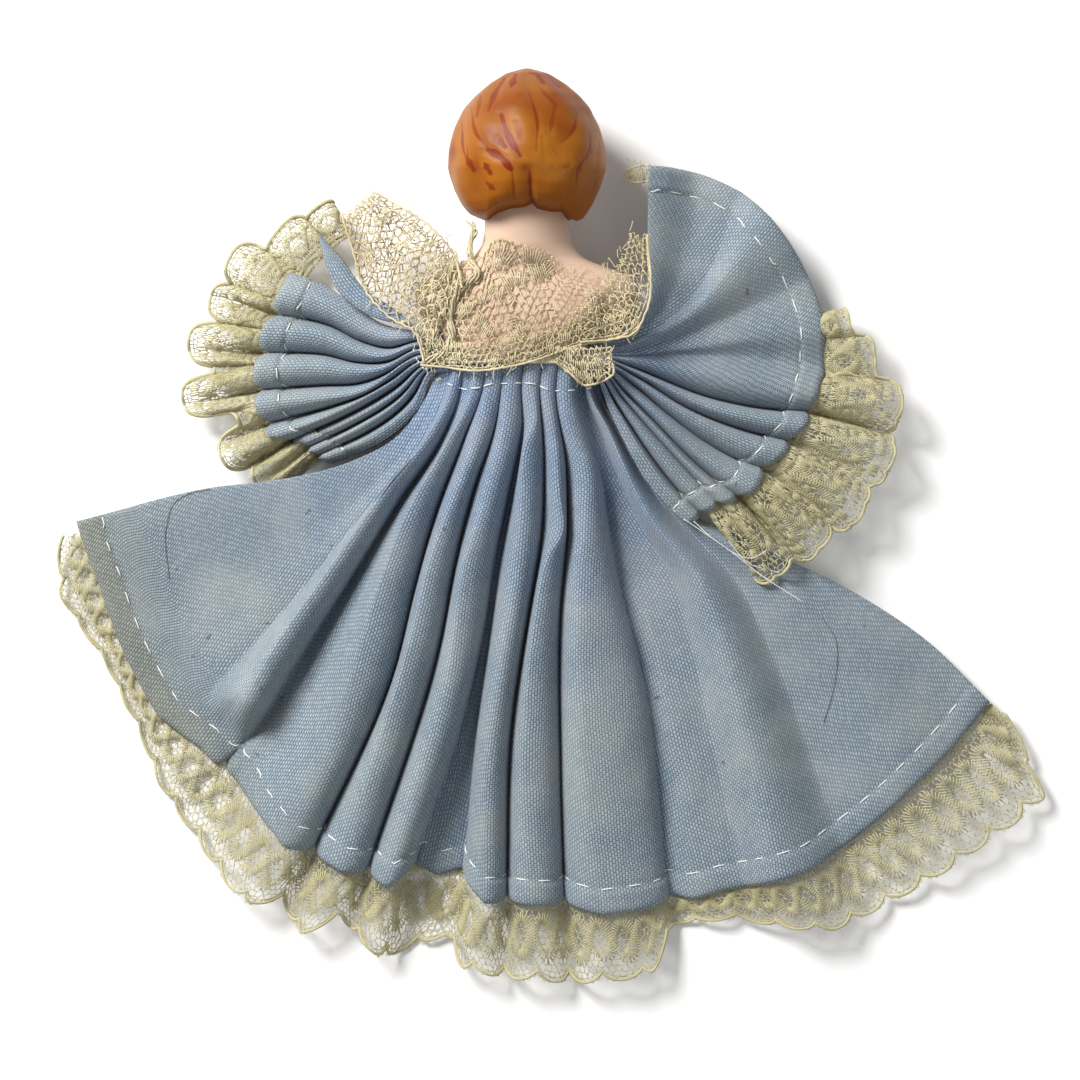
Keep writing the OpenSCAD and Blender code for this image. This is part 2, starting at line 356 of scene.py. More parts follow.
MATERIALS = {
    "cloth": cloth_material(),
    "lace": thread_material("cream_lace", (218, 212, 176), (194, 186, 141), through=0.35),
    "yoke": thread_material("ecru_lace", (228, 218, 186), (200, 185, 145), through=0.25),
    "white": thread_material("white_thread", (238, 238, 232), (214, 214, 205), scale=5000.0),
    "bisque": bisque_material(),
    "paper": plain_material("filling_paper", (206, 192, 160), (170, 150, 116), 0.95, 400.0),
    "hair": plain_material("stray_hair", (58, 50, 44), (84, 74, 64), 0.6, 900.0),
    "tie": thread_material("tie_thread", (226, 218, 196), (190, 176, 146), scale=4000.0),
}


# ---- the bust's rings
# Each torso ring is [y, half width, half depth, middle height], each bob ring [y, share of BOB_R].
TORSO = [[25, 13.6, 5.8, 9.2], [29, 14.4, 6.4, 9.3], [33, 16.5, 6.8, 9.4],
         [36.5, 17.5, 6.2, 9.6], [38.8, 16.3, 5.2, 9.8], [40.2, 12.4, 4.9, 10],
         [41.6, 8.8, 5.2, 10.3], [43.5, 7, 5.6, 10.7], [46, 6.5, 5.8, 11.1], [51, 6.5, 6, 11.6]]
BOB = [[46.8, .42], [48.4, .73], [50, .84], [52.3, .93], [55.4, 1], [58.5, .98], [61.6, .91],
       [64.7, .79], [66.6, .66], [68.4, .49], [70, .28], [70.9, .03]]
# The hair's lower edge at the back, as [distance from the middle, lift above the bottom ring].
NAPE = [[-9, 0], [-6, 0.3], [-4.6, 1.3], [-2.6, 2.1], [-0.4, 2.3], [0.8, 2.9], [1.6, 2.1],
        [3.6, 1.6], [5.2, 1.5], [6.8, 0], [7.6, -1.1], [8.6, -1.4], [9.6, -1], [11, 0]]
# Bold brush strokes on the back of the bob: half width, depth of colour, then (across, y) points.
BRUSHED = [
    (0.42, 1.0, (-4, 63), (-3, 60), (-1, 56.6)),
    (0.2, 0.8, (0.4, 66.6), (1.6, 61.6), (1.4, 57.6)),
    (0.3, 0.8, (-3.6, 69), (-5, 66.6), (-6, 63.8)), (0.42, 0.9, (-1.8, 69.6), (-2.4, 67.6)),
    (0.2, 0.8, (-8.6, 64.6), (-7.6, 60), (-5.4, 57.2)),
    (0.5, 1.0, (-6, 57.6), (-4, 56.4), (-2.4, 54.6)),
    (0.2, 0.8, (-10.2, 62), (-9.8, 58), (-9, 56)), (0.34, 0.9, (-9.2, 56.6), (-8.2, 54.6)),
    (0.3, 0.8, (0.4, 70), (3, 69.2), (5.2, 67.6)), (0.26, 0.9, (1.6, 69.4), (2.6, 68.2)),
    (0.24, 0.9, (0.4, 54.4), (0.6, 50.2)), (0.18, 0.7, (-2.2, 54), (-2, 50.2)),
    (0.28, 0.5, (4.4, 64.6), (3.6, 60.4)), (0.2, 0.7, (7.6, 63.4), (7, 60.6), (5.4, 58.8)),
    (0.2, 0.7, (9.2, 57), (7.8, 54.6), (7.6, 52.2)), (0.36, 0.9, (-4.4, 59.2), (-3.4, 58)),
    (0.36, 0.9, (-6.6, 55.6), (-5.6, 54)), (0.22, 0.6, (-7, 66.4), (-7.6, 63)),
    (0.3, 0.8, (-6.2, 52.6), (-5, 51.6)), (0.3, 0.4, (-1.4, 62), (-1, 59)),
    (0.26, 0.5, (2.2, 67), (4.6, 64.4)), (0.22, 0.6, (9.6, 61), (9.8, 57.4))]


def smoothed(rows, y):
    """Ring sizes at y, rounded between the rings."""
    rows = np.array(rows, float)
    width = 0.9
    steps = np.linspace(-width, width, 9)
    weights = np.exp(-(steps / width * 1.5) ** 2)
    total = sum(w * np.interp(y + d, rows[:, 0], rows[:, 1]) for w, d in zip(weights, steps))
    return total / weights.sum()


def torso_sizes(y):
    return [smoothed([[row[0], row[k]] for row in TORSO], y) for k in (1, 2, 3)]


def bust_top(x, y):
    """Height of the back of the bust over a place."""
    half, deep, mid = torso_sizes(np.asarray(y, float))
    return mid + deep * np.sqrt(np.clip(1 - ((np.asarray(x) - BODY_X) / half) ** 2, 0, 1))


# ---- folded cloth
# A fold line is (kind, height at the hem, points): a crest is the top of a round pleat, a crevice
# the slit between two, and a flat a line that the cloth just passes. All start on the bust, as
# high over it as PROUD says.
PROUD = {"crest": 0.75, "crevice": 0.1, "flat": 0.3}
SAG = 0.82               # below 1, the cloth drops soonest by the bust
SLIT = 0.34              # how much sooner the slits between pleats drop
COLUMN_STEP = 0.42       # between two columns of a cloth's mesh

# A line may end with its own sag, and with the height at which its fold dies out before the hem.
SKIRT_LINES = [
    ("flat", 2.6, [(-18.4, 24), (-20.8, 18.6), (-24.8, 13.8), (-31, 10.5), (-42.5, 7.5),
                   (-53, 6.3), (-74.5, 1)]),
    ("flat", 0.9, [(-17.4, 23.4), (-22.5, 13.5), (-37, 0), (-51, -8), (-67.5, -19)]),
    ("flat", 1.2, [(-16.4, 22.9), (-21.5, 12), (-31, 0.5), (-43, -14), (-59.5, -31.5)]),
    ("crest", 8.4, [(-15.4, 22.5), (-18.9, 15), (-25.5, 7), (-34, -5.5), (-44, -20),
                    (-48.6, -28.4), (-54, -36)], SAG, 1.6),
    ("crevice", 0.6, [(-14.4, 22.2), (-17.5, 13.6), (-23.6, 4.6), (-31.6, -8), (-41, -22.5),
                      (-46.2, -30.8), (-52.4, -37.4)]),
    ("flat", 1.6, [(-13.4, 22), (-17, 13), (-23, 3.5), (-30, -9), (-37, -22), (-50.2, -39)]),
    ("crest", 6.8, [(-12.2, 22), (-17.2, 12), (-22.3, 3), (-25.6, -5), (-30, -19), (-34, -33),
                    (-42.5, -49.5)]),
    ("crevice", 0.8, [(-10.8, 22.3), (-14, 13.5), (-17.8, 3.5), (-21.6, -9.5), (-24.4, -21),
                      (-37.8, -50.8)]),
    ("crest", 6.4, [(-9.6, 22.8), (-12, 13), (-15.2, 5), (-19, -5), (-21.5, -15), (-26, -30.5),
                    (-33, -53.6)]),
    ("crevice", 0.8, [(-8, 22.8), (-9, 16), (-12.3, 6), (-15.2, -5.5), (-17.4, -17),
                      (-29.2, -54)]),
    ("crest", 6.6, [(-6.6, 23), (-7.6, 15), (-10.6, 3.5), (-13.4, -5), (-16.4, -24),
                    (-26, -56)]),
    ("crevice", 1.0, [(-5.2, 22.9), (-5, 15), (-6.8, 6), (-9, -4.5), (-10.8, -16), (-15, -33),
                      (-22.6, -54)]),
    ("crevice", 1.0, [(-5, 22.9), (-4.8, 14.5), (-6.4, 5), (-8.3, -5), (-10, -17), (-12.4, -34),
                      (-14.2, -55)]),
    ("crest", 6.6, [(-3.6, 23), (-3, 16), (-4.6, 12.5), (-4.8, 5), (-5.4, -5), (-8, -22),
                    (-10.2, -38), (-10.8, -58.4)]),
    ("crevice", 0.8, [(-2.2, 22.6), (-1.5, 10), (-2, -2.5), (-4, -14.5), (-6.4, -30),
                      (-7.4, -58.4)]),
    ("crest", 6.4, [(-1, 22), (0.2, 13), (0.8, 5), (1.2, -1), (-0.6, -4), (-3, -15), (-4.4, -33),
                    (-3.4, -58.8)]),
    ("crevice", 0.8, [(0.2, 21.8), (1.8, 10), (2, -1), (1, -14), (1, -36), (1.6, -58.9)]),
    ("crest", 6.2, [(1.6, 21.9), (2.9, 13.5), (4.4, 10.8), (5, 3), (4.5, -6), (4.2, -18),
                    (7.5, -60.3)]),
    ("crevice", 1.0, [(3, 22), (5.4, 13.5), (7.2, 8.5), (8.4, 1), (10, -8), (13.6, -22),
                      (18, -59)]),
    ("flat", 2.4, [(3.7, 22), (6.4, 13.5), (8.6, 7.5), (11, -1), (14.5, -12), (19, -28),
                   (24, -57.5)], 0.38),
    ("flat", 2.2, [(4.4, 22.1), (7.4, 13.6), (10, 7.2), (13.4, 0.4), (17.5, -6.5), (21, -17),
                   (24.5, -33), (29.5, -56)], 0.42),
    ("crest", 7.4, [(5.2, 22.3), (8.6, 14.5), (14, 3), (18, -2.6), (21.6, -6.8), (24, -11.5),
                    (28, -24), (35.5, -54.5)], 0.55),
    ("flat", 2.0, [(6, 22.5), (9.9, 14.6), (16.5, 4), (22.5, -2.2), (28, -8), (34, -20),
                   (45, -50)], 0.42),
    ("flat", 5.2, [(6.8, 22.7), (11.6, 13), (19, 3.6), (30, -5), (43, -18), (57, -39.8)], 0.4),
    ("flat", 2.2, [(7.4, 22.9), (12.6, 12.6), (19, 4), (33.5, -3.6), (47.5, -10.5), (58, -17.5),
                   (68, -27.2)], 0.38),
]
LEFT_LINES = [
    ("flat", 5.2, [(-20.6, 30.4), (-26.5, 31.6), (-31, 34.6), (-36, 37.8), (-41.4, 39.6)]),
    ("crest", 7.8, [(-20.8, 29.6), (-26.4, 29.6), (-31, 31.8), (-36, 34.8), (-42.7, 36.6)]),
    ("crest", 7.2, [(-20.8, 28.4), (-26.5, 26.6), (-36.5, 30), (-45.4, 30.8)]),
    ("crest", 7.0, [(-20.8, 27.4), (-27, 24.6), (-38, 25), (-46.8, 24.6)]),
    ("crest", 6.6, [(-20.6, 26.4), (-30, 21), (-39, 19.8), (-46.6, 19)]),
    ("crest", 5.8, [(-20.2, 25.6), (-26, 22), (-32, 18.8), (-38, 16.2), (-44.4, 14)]),
    ("crest", 4.8, [(-19.6, 25), (-24.5, 20.8), (-31, 17), (-39.4, 13.2)]),
    ("crest", 4.4, [(-19.2, 24.7), (-24, 19.6), (-31, 15.2), (-38.2, 11.8)]),
    ("crest", 4.0, [(-18.7, 24.4), (-22.2, 18.8), (-27.8, 14.4), (-36.4, 10.8)]),
    ("flat", 3.0, [(-18.1, 24), (-21, 18.2), (-25.8, 13.8), (-35.2, 9.9)]),
]
RIGHT_LINES = [
    ("flat", 10.2, [(6.4, 29), (10.5, 31), (14.2, 34), (14.4, 44), (14.6, 56)]),
    ("flat", 5.4, [(6.6, 28.4), (16, 33), (20.8, 41), (22.4, 48), (22.8, 55.6)]),
    ("flat", 5.6, [(6.8, 28), (17, 31.6), (23.5, 39), (28.6, 52.6)]),
    ("crest", 8.6, [(7, 27.8), (15, 29.6), (21, 33), (27.4, 39.6), (34.6, 48)]),
    ("flat", 5.4, [(7.1, 27.4), (17, 28.8), (27, 32.6), (39.4, 38.8)]),
    ("flat", 6.2, [(7.2, 27.1), (19, 27.6), (31, 29.6), (42.4, 31)]),
    ("flat", 4.4, [(7.2, 26.9), (18, 26.8), (30, 26.4), (43.2, 25)]),
    ("crest", 7.6, [(7.3, 26.7), (14, 25.6), (24.5, 23.4), (34, 21.6), (41.6, 20.6)]),
    ("crevice", 3.0, [(7.2, 26.5), (12, 24.8), (24.2, 20.2), (34, 18.4), (40, 18.2)]),
    ("crest", 8.0, [(7.2, 26.3), (14, 23.4), (24.5, 18.4), (32, 16.6), (39.2, 15.7)]),
    ("crevice", 3.6, [(7.1, 26.1), (13, 23.2), (20.9, 18.4), (30, 15), (37, 13.4)]),
    ("crest", 8.8, [(7, 25.9), (13, 22.4), (18, 19), (23.5, 15.9), (29.5, 13), (35.6, 11.2)]),
    ("crevice", 5.0, [(6.8, 25.7), (12.8, 21.6), (17.6, 17.6), (23.3, 13.4), (28.8, 10.4),
                      (33.2, 9)]),
    ("crest", 10.4, [(6.6, 25.5), (12, 20.8), (17.4, 16), (22.8, 11), (31, 5.4)]),
    ("crest", 10.0, [(6.4, 25.3), (11, 20.2), (16, 14.9), (21, 9.4), (27.4, 3.9)]),
    ("crevice", 7.6, [(6.2, 25.1), (10.8, 19.8), (15.6, 14.4), (20.6, 9), (25.8, 3.4)]),
    ("crest", 9.4, [(5.9, 24.9), (10.4, 19), (15.2, 12.8), (19.6, 7.4), (24.2, 2.6)]),
    ("crest", 9.2, [(5.6, 24.6), (9.6, 18.2), (13.8, 11.2), (17.8, 5.8), (22, 1.6)]),
    ("flat", 8.4, [(5.2, 24.4), (8.6, 17.8), (12, 11), (15, 6.3), (18.6, 2.6), (20.8, 0.9)]),
]
SKIRT_HEM = [[198, 73.6], [206, 74], [214, 76], [223, 78.2], [229, 77], [234, 77.3], [239, 80],
             [244, 82.5], [248, 80.5], [256, 81.5], [274, 82.5], [278, 84.6], [291, 86],
             [300, 88.9], [314, 88], [325, 88.5]]
RIGHT_HEM = [[-58, 30.5], [-36, 33], [-15, 33.5], [-5, 36], [10, 36], [28, 35], [48, 34],
             [60, 32.5], [75, 30]]


def with_crevices(lines):
    """Adds the slit between each two crests that have none."""
    out = [lines[0]]
    for line in lines[1:]:
        before = out[-1]
        if before[0] == line[0] == "crest":
            v = shares(6)
            slit = mix(spline(before[2], v), spline(line[2], v), 0.58)
            out.append(("crevice", max(min(before[1], line[1]) - 4.6, 0.4), slit))
        out.append(line)
    return out


def profile(kinds, s):
    """Share of the way across and share of the way up or down between two fold lines."""
    quarter = s * math.pi / 2
    if kinds == ("crevice", "crest"):
        return mix(1 - math.cos(quarter), s, 0.12), math.sin(quarter) ** 0.9
    if kinds == ("crest", "crevice"):
        return mix(math.sin(quarter), s, 0.12), 1 - math.cos(quarter) ** 0.9
    if kinds[1] == "crest":
        return s, math.sin(quarter) ** 1.3
    if kinds[0] == "crest":
        return s, 1 - math.cos(quarter) ** 1.3
    return s, s * s * (3 - 2 * s)


def folded(lines, rows, reach, short):
    """The grid of a cloth with these fold lines, tucked up by reach under the yoke; its ends are
    round, with each crevice short by so much."""
    lines = with_crevices(lines)
    v = shares(rows)
    ends = []
    for kind, z_hem, pts, *more in lines:
        drop = v ** (more[0] if more else SAG)
        if kind == "crevice":
            drop = drop + SLIT * fade(v, 0.05, 0.3) * (1 - v)
        pts = [np.array(pts[0]) + reach] + [np.array(p) for p in pts]
        z = mix(bust_top(*pts[0]) + PROUD[kind], z_hem, drop)
        if len(more) > 1:
            z = mix(z, more[1], fade(v, 0.84, 0.94))
        ends.append((kind, pts, z))
    columns, owner, depth = [], [], []
    for k in range(len(lines) - 1):
        (kind_a, a, z_a), (kind_b, b, z_b) = ends[k], ends[k + 1]
        width = np.linalg.norm(np.array(a[-1]) - b[-1])
        steps = int(np.clip(width / COLUMN_STEP, 6, 26))
        last = k == len(lines) - 2
        for s in np.linspace(0, 1, steps + last, endpoint=last):
            x, z = profile((kind_a, kind_b), s)
            low = {"crevice": 1 - z, "crest": 0, "flat": 0}[kind_a]
            if kind_b == "crevice":
                low = max(low, z)
            length = distance_along(a)[-1]
            cut = v * (1 - short * low**2.4 / length)
            xy_a, xy_b = spline(a, cut), spline(b, cut)
            columns.append(np.column_stack([mix(xy_a, xy_b, x), mix(z_a, z_b, z)]))
            owner.append(k)
            depth.append(low)
    return np.stack(columns, 1), np.array(owner), [line[0] for line in lines], np.array(depth)


def to_outline(grid, owner, kinds, centre, hem):
    """Draws the ends of the flat stretches to the hem's curved outline."""
    flat = np.array([("crevice" not in kinds[k:k + 2]) * 1.0 for k in owner])
    flat = np.convolve(np.pad(flat, 4, "edge"), np.ones(9) / 9, "valid")
    end = grid[-1, :, :2] - centre
    angle = np.degrees(np.arctan2(end[:, 1], end[:, 0])) % 360
    angle = np.where(angle > hem[-1][0] + 60, angle - 360, angle)
    short = table(hem, angle) - np.linalg.norm(end, axis=1)
    v = shares(len(grid))[:, None, None] ** 2.5
    grid[..., :2] += (unit(end) * (short * flat)[:, None])[None] * v
    return grid


def weave_uv(grid, owner, kinds):
    """Each quad's four UV corners in mm: U across the pleat from its crest, V along it."""
    rows, cols = grid.shape[:2]
    step = np.linalg.norm(np.diff(grid, axis=1), axis=2)
    along = np.concatenate([np.zeros((1, cols)),
                            np.cumsum(np.linalg.norm(np.diff(grid, axis=0), axis=2), 0)])
    uv = np.zeros((rows - 1, cols - 1, 4, 2))
    starts = [0]
    for k in range(1, len(kinds) - 1):
        if kinds[k] == "crevice":
            starts.append(int(np.argmax(owner >= k)))
    starts.append(cols - 1)
    for n, (a, b) in enumerate(zip(starts[:-1], starts[1:])):
        if b <= a:
            continue
        crests = [k for k, kind in enumerate(kinds)
                  if kind == "crest" and a <= np.argmax(owner >= k) < b]
        mid = int(np.argmax(owner >= crests[0])) if crests else (a + b) // 2
        across = np.concatenate([np.zeros((rows, 1)), np.cumsum(step[:, a:b], 1)], 1)
        u = across - across[:, mid - a:mid - a + 1] + 37.0 * n
        v = np.broadcast_to(along[:, mid:mid + 1], u.shape)
        at = np.stack([u, v], -1)
        uv[:, a:b] = np.stack([at[:-1, :-1], at[:-1, 1:], at[1:, 1:], at[1:, :-1]], 2)
    return uv


def hem_thickness(grid):
    """Raises the turned hem a little and rounds the cut end of the cloth."""
    back = np.linalg.norm(grid - grid[-1:], axis=2)
    band = 0.28 * fade(HEM_BAND + 0.25 - back, 0, 0.5)
    groove = -0.22 * np.exp(-((back - HEM_BAND) / 0.35) ** 2)
    end = -0.45 * (1 - fade(back, 0, 0.9))
    return grid + normals(grid) * (band + groove + end)[..., None]


def crinkle(grid, size):
    """Small soft waves that keep a cloth from looking machined."""
    x, y = grid[..., 0], grid[..., 1]
    warp = 1.5 * np.sin(0.13 * x + 0.07 * y) + 1.2 * np.sin(0.11 * y - 0.05 * x + 2)
    wave = (np.sin(0.21 * x + 0.13 * y + 1.3 + warp) + 0.8 * np.sin(-0.17 * x + 0.24 * y + warp)
            + 0.3 * np.sin(0.5 * x - 0.33 * y + 2 + 2 * warp))
    v = shares(grid.shape[0])[:, None]
    out = grid.copy()
    out[..., 2] += size * wave * fade(v, 0.05, 0.4)
    return out


def cloth_tint(grid, depth, stain=0.0):
    """Painted shade: darker and bluer in the gathers and darkest in the slits between pleats,
    greyer and lighter outward; and browned along a soiled hem.
    """
    rows, cols = grid.shape[:2]
    v = shares(rows)[:, None] * np.ones((1, cols))
    blue, grey = np.array([0.80, 0.92, 1.10]), np.array([0.92, 0.98, 0.95])
    # painted shade: darker and bluer toward the gathers, greyer toward the hem
    colour = mix(blue, grey, fade(v, 0.0, 0.75)[..., None])
    # painted shade in the slits between the pleats, weaker toward the hem
    slit = (depth**2 * 0.55)[None] * (1 - 0.5 * fade(v, 0.6, 1))
    colour = colour * mix(np.ones(3), np.array([0.52, 0.66, 0.90]), slit[..., None])
    if stain:
        back = np.linalg.norm(grid - grid[-1:], axis=2)
        brown = 0.4 * fade(16 - back, 0, 16) + 0.6 * fade(HEM_BAND + 0.6 - back, 0, 1)
        brown = stain * brown * fade(-grid[..., 0], 38, 62)
        colour = colour * mix(np.ones(3), np.array([0.92, 0.80, 0.62]), brown[..., None])
    return np.concatenate([colour, np.ones((rows, cols, 1))], 2)


def make_cloth(name, lines, rows, reach, short, centre, hem=None, stain=0.0, wave=0.12):
    grid, owner, kinds, depth = folded(lines, rows, np.array(reach), short)
    if hem:
        grid = to_outline(grid, owner, kinds, centre, hem)
    grid = hem_thickness(crinkle(grid, wave))
    obj = shell(name, grid, CLOTH_T, weave_uv(grid, owner, kinds), cloth_tint(grid, depth, stain),
                MATERIALS["cloth"])
    return obj, grid


skirt, skirt_grid = make_cloth("skirt_cloth", SKIRT_LINES, 150, (0.4, 3.8), 1.6, SKIRT_CENTRE,
                               SKIRT_HEM, stain=1.0)
left, left_grid = make_cloth("left_sleeve_cloth", LEFT_LINES, 90, (3.4, -0.2), 3.0,
                             LEFT_CENTRE, wave=0.05)
right, right_grid = make_cloth("right_sleeve_cloth", RIGHT_LINES, 110, (-1.8, 0.6), 1.6,
                               RIGHT_CENTRE, RIGHT_HEM, wave=0.06)


# ---- sewing
def stitches(name, grid, back, length, gap, radius):
    """A running stitch across the pleats, back mm up from the hem, or down from the gather
    if back is negative."""
    sew = Threads(name)
    away = np.linalg.norm(grid - (grid[-1:] if back > 0 else grid[:1]), axis=2)
    cols = np.arange(grid.shape[1])
    rows = np.argmin(np.abs(away - abs(back)), axis=0)
    ups = normals(grid)[rows, cols]
    path = grid[rows, cols] + ups * 0.06
    run = distance_along(path)
    at = 0.4
    while at + length < run[-1]:
        here = length * rng.uniform(0.85, 1.15)
        if rng.random() >= MISSED:
            s = np.linspace(at, at + here, 9)
            pts, up = (np.column_stack([np.interp(s, run, of[:, c]) for c in range(3)])
                       for of in (path, ups))
            up = unit(up)
            arch = np.sin(np.linspace(0, math.pi, 9))[:, None]
            sew.add(pts + up * (arch * 0.16 - 0.08), up, radius * (0.7 + 0.3 * arch.T), radius)
        at += here + gap * rng.uniform(0.85, 1.2)
    return sew.build(MATERIALS["white"])


skirt_hem, left_hem, right_hem, skirt_gather, left_gather, right_gather = (
    stitches(f"{name}_stitches", *row) for name, row in {
        "skirt_hem": (skirt_grid, HEM_BAND, 2.0, 2.1, 0.085),
        "left_hem": (left_grid, HEM_BAND, 2.0, 1.9, 0.085),
        "right_hem": (right_grid, HEM_BAND, 2.0, 2.0, 0.085),
        "skirt_gather": (skirt_grid, -4.6, 1.8, 1.3, 0.09),
        "left_gather": (left_grid, -4.4, 1.6, 1.6, 0.09),
        "right_gather": (right_grid, -3.2, 1.6, 1.6, 0.09)}.items())


# ---- lace
class Patch:
    """A ruffled lace ground: a runs along it in mm, b is the share of its width."""

    def __init__(self, grid):
        self.grid, self.up = grid, normals(grid)
        self.run = distance_along(grid[len(grid) * 3 // 5])
        self.length = self.run[-1]
        self.width = np.linalg.norm(grid[-1] - grid[0], axis=1).mean()

    def at(self, a, b, lift=0.0):
        rows, cols = self.grid.shape[:2]
        x = np.clip(np.interp(a, self.run, np.arange(cols)), 0, cols - 1.001)
        y = np.clip(np.asarray(b) * (rows - 1), 0, rows - 1.001)
        i, j = x.astype(int), y.astype(int)
        s, t = (x - i)[..., None], (y - j)[..., None]

        def blended(g):
            return mix(mix(g[j, i], g[j, i + 1], s), mix(g[j + 1, i], g[j + 1, i + 1], s), t)
        up = unit(blended(self.up))
        return blended(self.grid) + up * lift, up


def net_edges(length, width, pitch):
    """The threads of a six-sided net as pairs of points, (threads, 2, 2) in mm."""
    side = pitch / math.sqrt(3)
    rows, cols = int(width / (1.5 * side)) + 2, int(length / pitch) + 2
    r, c = np.meshgrid(np.arange(rows), np.arange(cols), indexing="ij")
    centre = np.stack([(c + 0.5 * (r % 2)) * pitch, r * 1.5 * side], -1).reshape(-1, 1, 1, 2)
    corner = np.radians([150, 90, 30, -30])
    points = side * np.column_stack([np.cos(corner), np.sin(corner)])
    pairs = np.stack([points[:3], points[1:]], 1)[None]
    edges = (centre + pairs).reshape(-1, 2, 2)
    a, b = edges[..., 0], edges[..., 1]
    jitter = 0.16 * pitch * np.stack([np.sin(5.1 * b + 2.3 * a), np.sin(4.3 * a - 3.1 * b)], -1)
    return edges + jitter


def draw_net(threads, patch, pitch, net, top, keep=1.0, spread=(0.75, 1.3), slant=0.0, fine=0.0):
    """The net of a lace up to the share top(a); fine thins it toward the far upper corner."""
    edges = net_edges(patch.length, patch.width, pitch)
    a, b = edges[..., 0] + slant, edges[..., 1] / patch.width
    inside = (b > 0).all(1) & (b < top(a)).all(1) & (a > 0).all(1) & (a < patch.length).all(1)
    inside &= rng.random(len(inside)) < keep
    a, b = a[inside], b[inside]
    pts, up = patch.at(a, b, slant * 0.1)
    thin = 1 - fine * fade(a / patch.length, 0.35, 0.75) * fade(b, 0.25, 0.6)
    threads.add(pts, up, net * thin * rng.uniform(*spread, (len(a), 1)), net * 0.8 * thin)


def run_thread(threads, patch, a, b, half_width, half_thick, lift):
    """One strand through the points (a, b share)."""
    threads.add(*patch.at(a, b, lift), half_width, half_thick)


def satin(threads, patch, a, b, half, spacing=0.3, lift=0.05, thread=0.1):
    """Close stitching: short strands side by side across a path of (a, b share) points."""
    width = patch.width
    run = np.r_[0, np.cumsum(np.hypot(np.diff(a), np.diff(b) * width))]
    at = np.arange(spacing / 2, run[-1], spacing)
    if len(at) < 3:
        return
    ca, cb = np.interp(at, run, a), np.interp(at, run, b) * width
    da, db = np.gradient(np.interp(at, run, a)), np.gradient(np.interp(at, run, b) * width)
    size = np.maximum(np.hypot(da, db), 1e-6)
    wide = half if np.ndim(half) == 0 else np.interp(at, run, half)
    wide = wide * rng.uniform(0.82, 1.12, len(at))
    s = np.array([-1.0, 0.0, 1.0])
    sa = ca[:, None] - (db / size * wide)[:, None] * s
    sb = cb[:, None] + (da / size * wide)[:, None] * s
    keep = ((sb > 0) & (sb < width * 0.995) & (sa > 0) & (sa < patch.length)).all(1)
    threads.add(*patch.at(sa[keep], sb[keep] / width, lift), thread, 0.05)


def lace(threads, patch, rim, motif=7.6, close=0.85, cloth=0.0, cord=0.2, loops=True, windows=()):
    """Machine lace: a net, zigzags of close stitching that leave diamonds, and a corded edge at
    the share rim(a). cloth is how densely strands fill it, and windows are (a, b) holes in that."""
    length, width = patch.length, patch.width
    draw_net(threads, patch, 1.0, 0.06, rim)
    a = np.arange(0.1, length, 0.25)
    for flip in (0, 0.5):
        turn = np.abs(((a / motif + flip) % 1) * 2 - 1)
        b = rim(a) * (0.34 + 0.40 * fade(turn, 0.08, 0.92))
        satin(threads, patch, a, b, close * (1 + 0.3 * np.sin(a * 1.7 + flip)), 0.36, thread=0.085)
    turn = np.abs(((a / motif + 0.25) % 1) * 2 - 1)
    satin(threads, patch, a, rim(a) * (0.10 + 0.10 * turn), close * 0.7, 0.38, thread=0.08)
    if cloth:
        strand = np.arange(0.15, length, 0.36)
        for k in range(10):
            b0 = 0.02 + 0.088 * k
            a2 = strand[rng.random(len(strand)) < cloth][:, None] + np.array([0, 0.06, 0])
            b2 = b0 + np.array([0, 0.05, 0.10]) + 0 * a2
            ok = b2[:, 2] < rim(a2[:, 1]) - 0.02
            for wa, wb, size in windows:
                ok &= np.hypot(a2[:, 1] - wa, (b2[:, 1] - wb) * width) >= size
            threads.add(*patch.at(a2[ok], b2[ok], 0.02), 0.088, 0.045)
    a = np.arange(0, length, 0.22)
    run_thread(threads, patch, a, rim(a) - 0.005, cord, cord * 0.75, 0.05)
    run_thread(threads, patch, a, rim(a) - 0.6 / width, 0.07, 0.07, 0.04)
    if loops:
        at = np.arange(0.4, length - 0.4, 0.8)
        swing = np.radians([0, 60, 120, 180])
        a = at[:, None] + 0.27 * np.cos(swing)
        b = rim(at)[:, None] + 0.4 / width * np.sin(swing)
        threads.add(*patch.at(a, np.minimum(b, 1.0), 0.03), 0.055, 0.055)
    return threads


def scalloped(period, depth):
    return lambda a: 1 - depth * (1 - np.abs(np.sin(math.pi * np.asarray(a) / period)) ** 0.55)


def polar(centre, angle, radius):
    a = np.radians(angle)
    return np.stack([centre[0] + radius * np.cos(a), centre[1] + radius * np.sin(a)], -1)


SKIRT_EDGE = [[199, 77], [205, 80.3], [214, 79.2], [222, 81.5], [228, 85.5], [235, 88.8],
              [242, 93.2], [245, 90], [248, 94], [251, 89], [256, 93.5], [262, 88], [264, 93],
              [276, 95], [282, 95.4], [285, 88.5], [291, 90.5], [299, 98.7], [314, 102],
              [321, 104.5], [325, 92]]
# A lace finger is [angle, half its width in degrees, radius of its tip].
LEFT_FINGERS = [[126, 5, 29], [139, 8, 30.5], [153, 6.8, 34.4], [164.6, 5.6, 35],
                [176.4, 5.8, 37.2], [190, 5.4, 38.6], [198.4, 3.6, 31], [206, 6, 35.6],
                [217, 6, 33]]
RIGHT_FINGERS = [[-50, 4.6, 45], [-41, 5, 46.6], [-31, 5.4, 48.6], [-20.5, 5.6, 49.4],
                 [-10, 5.4, 48.6], [-0.5, 4.8, 43.8], [7, 3.4, 40]]


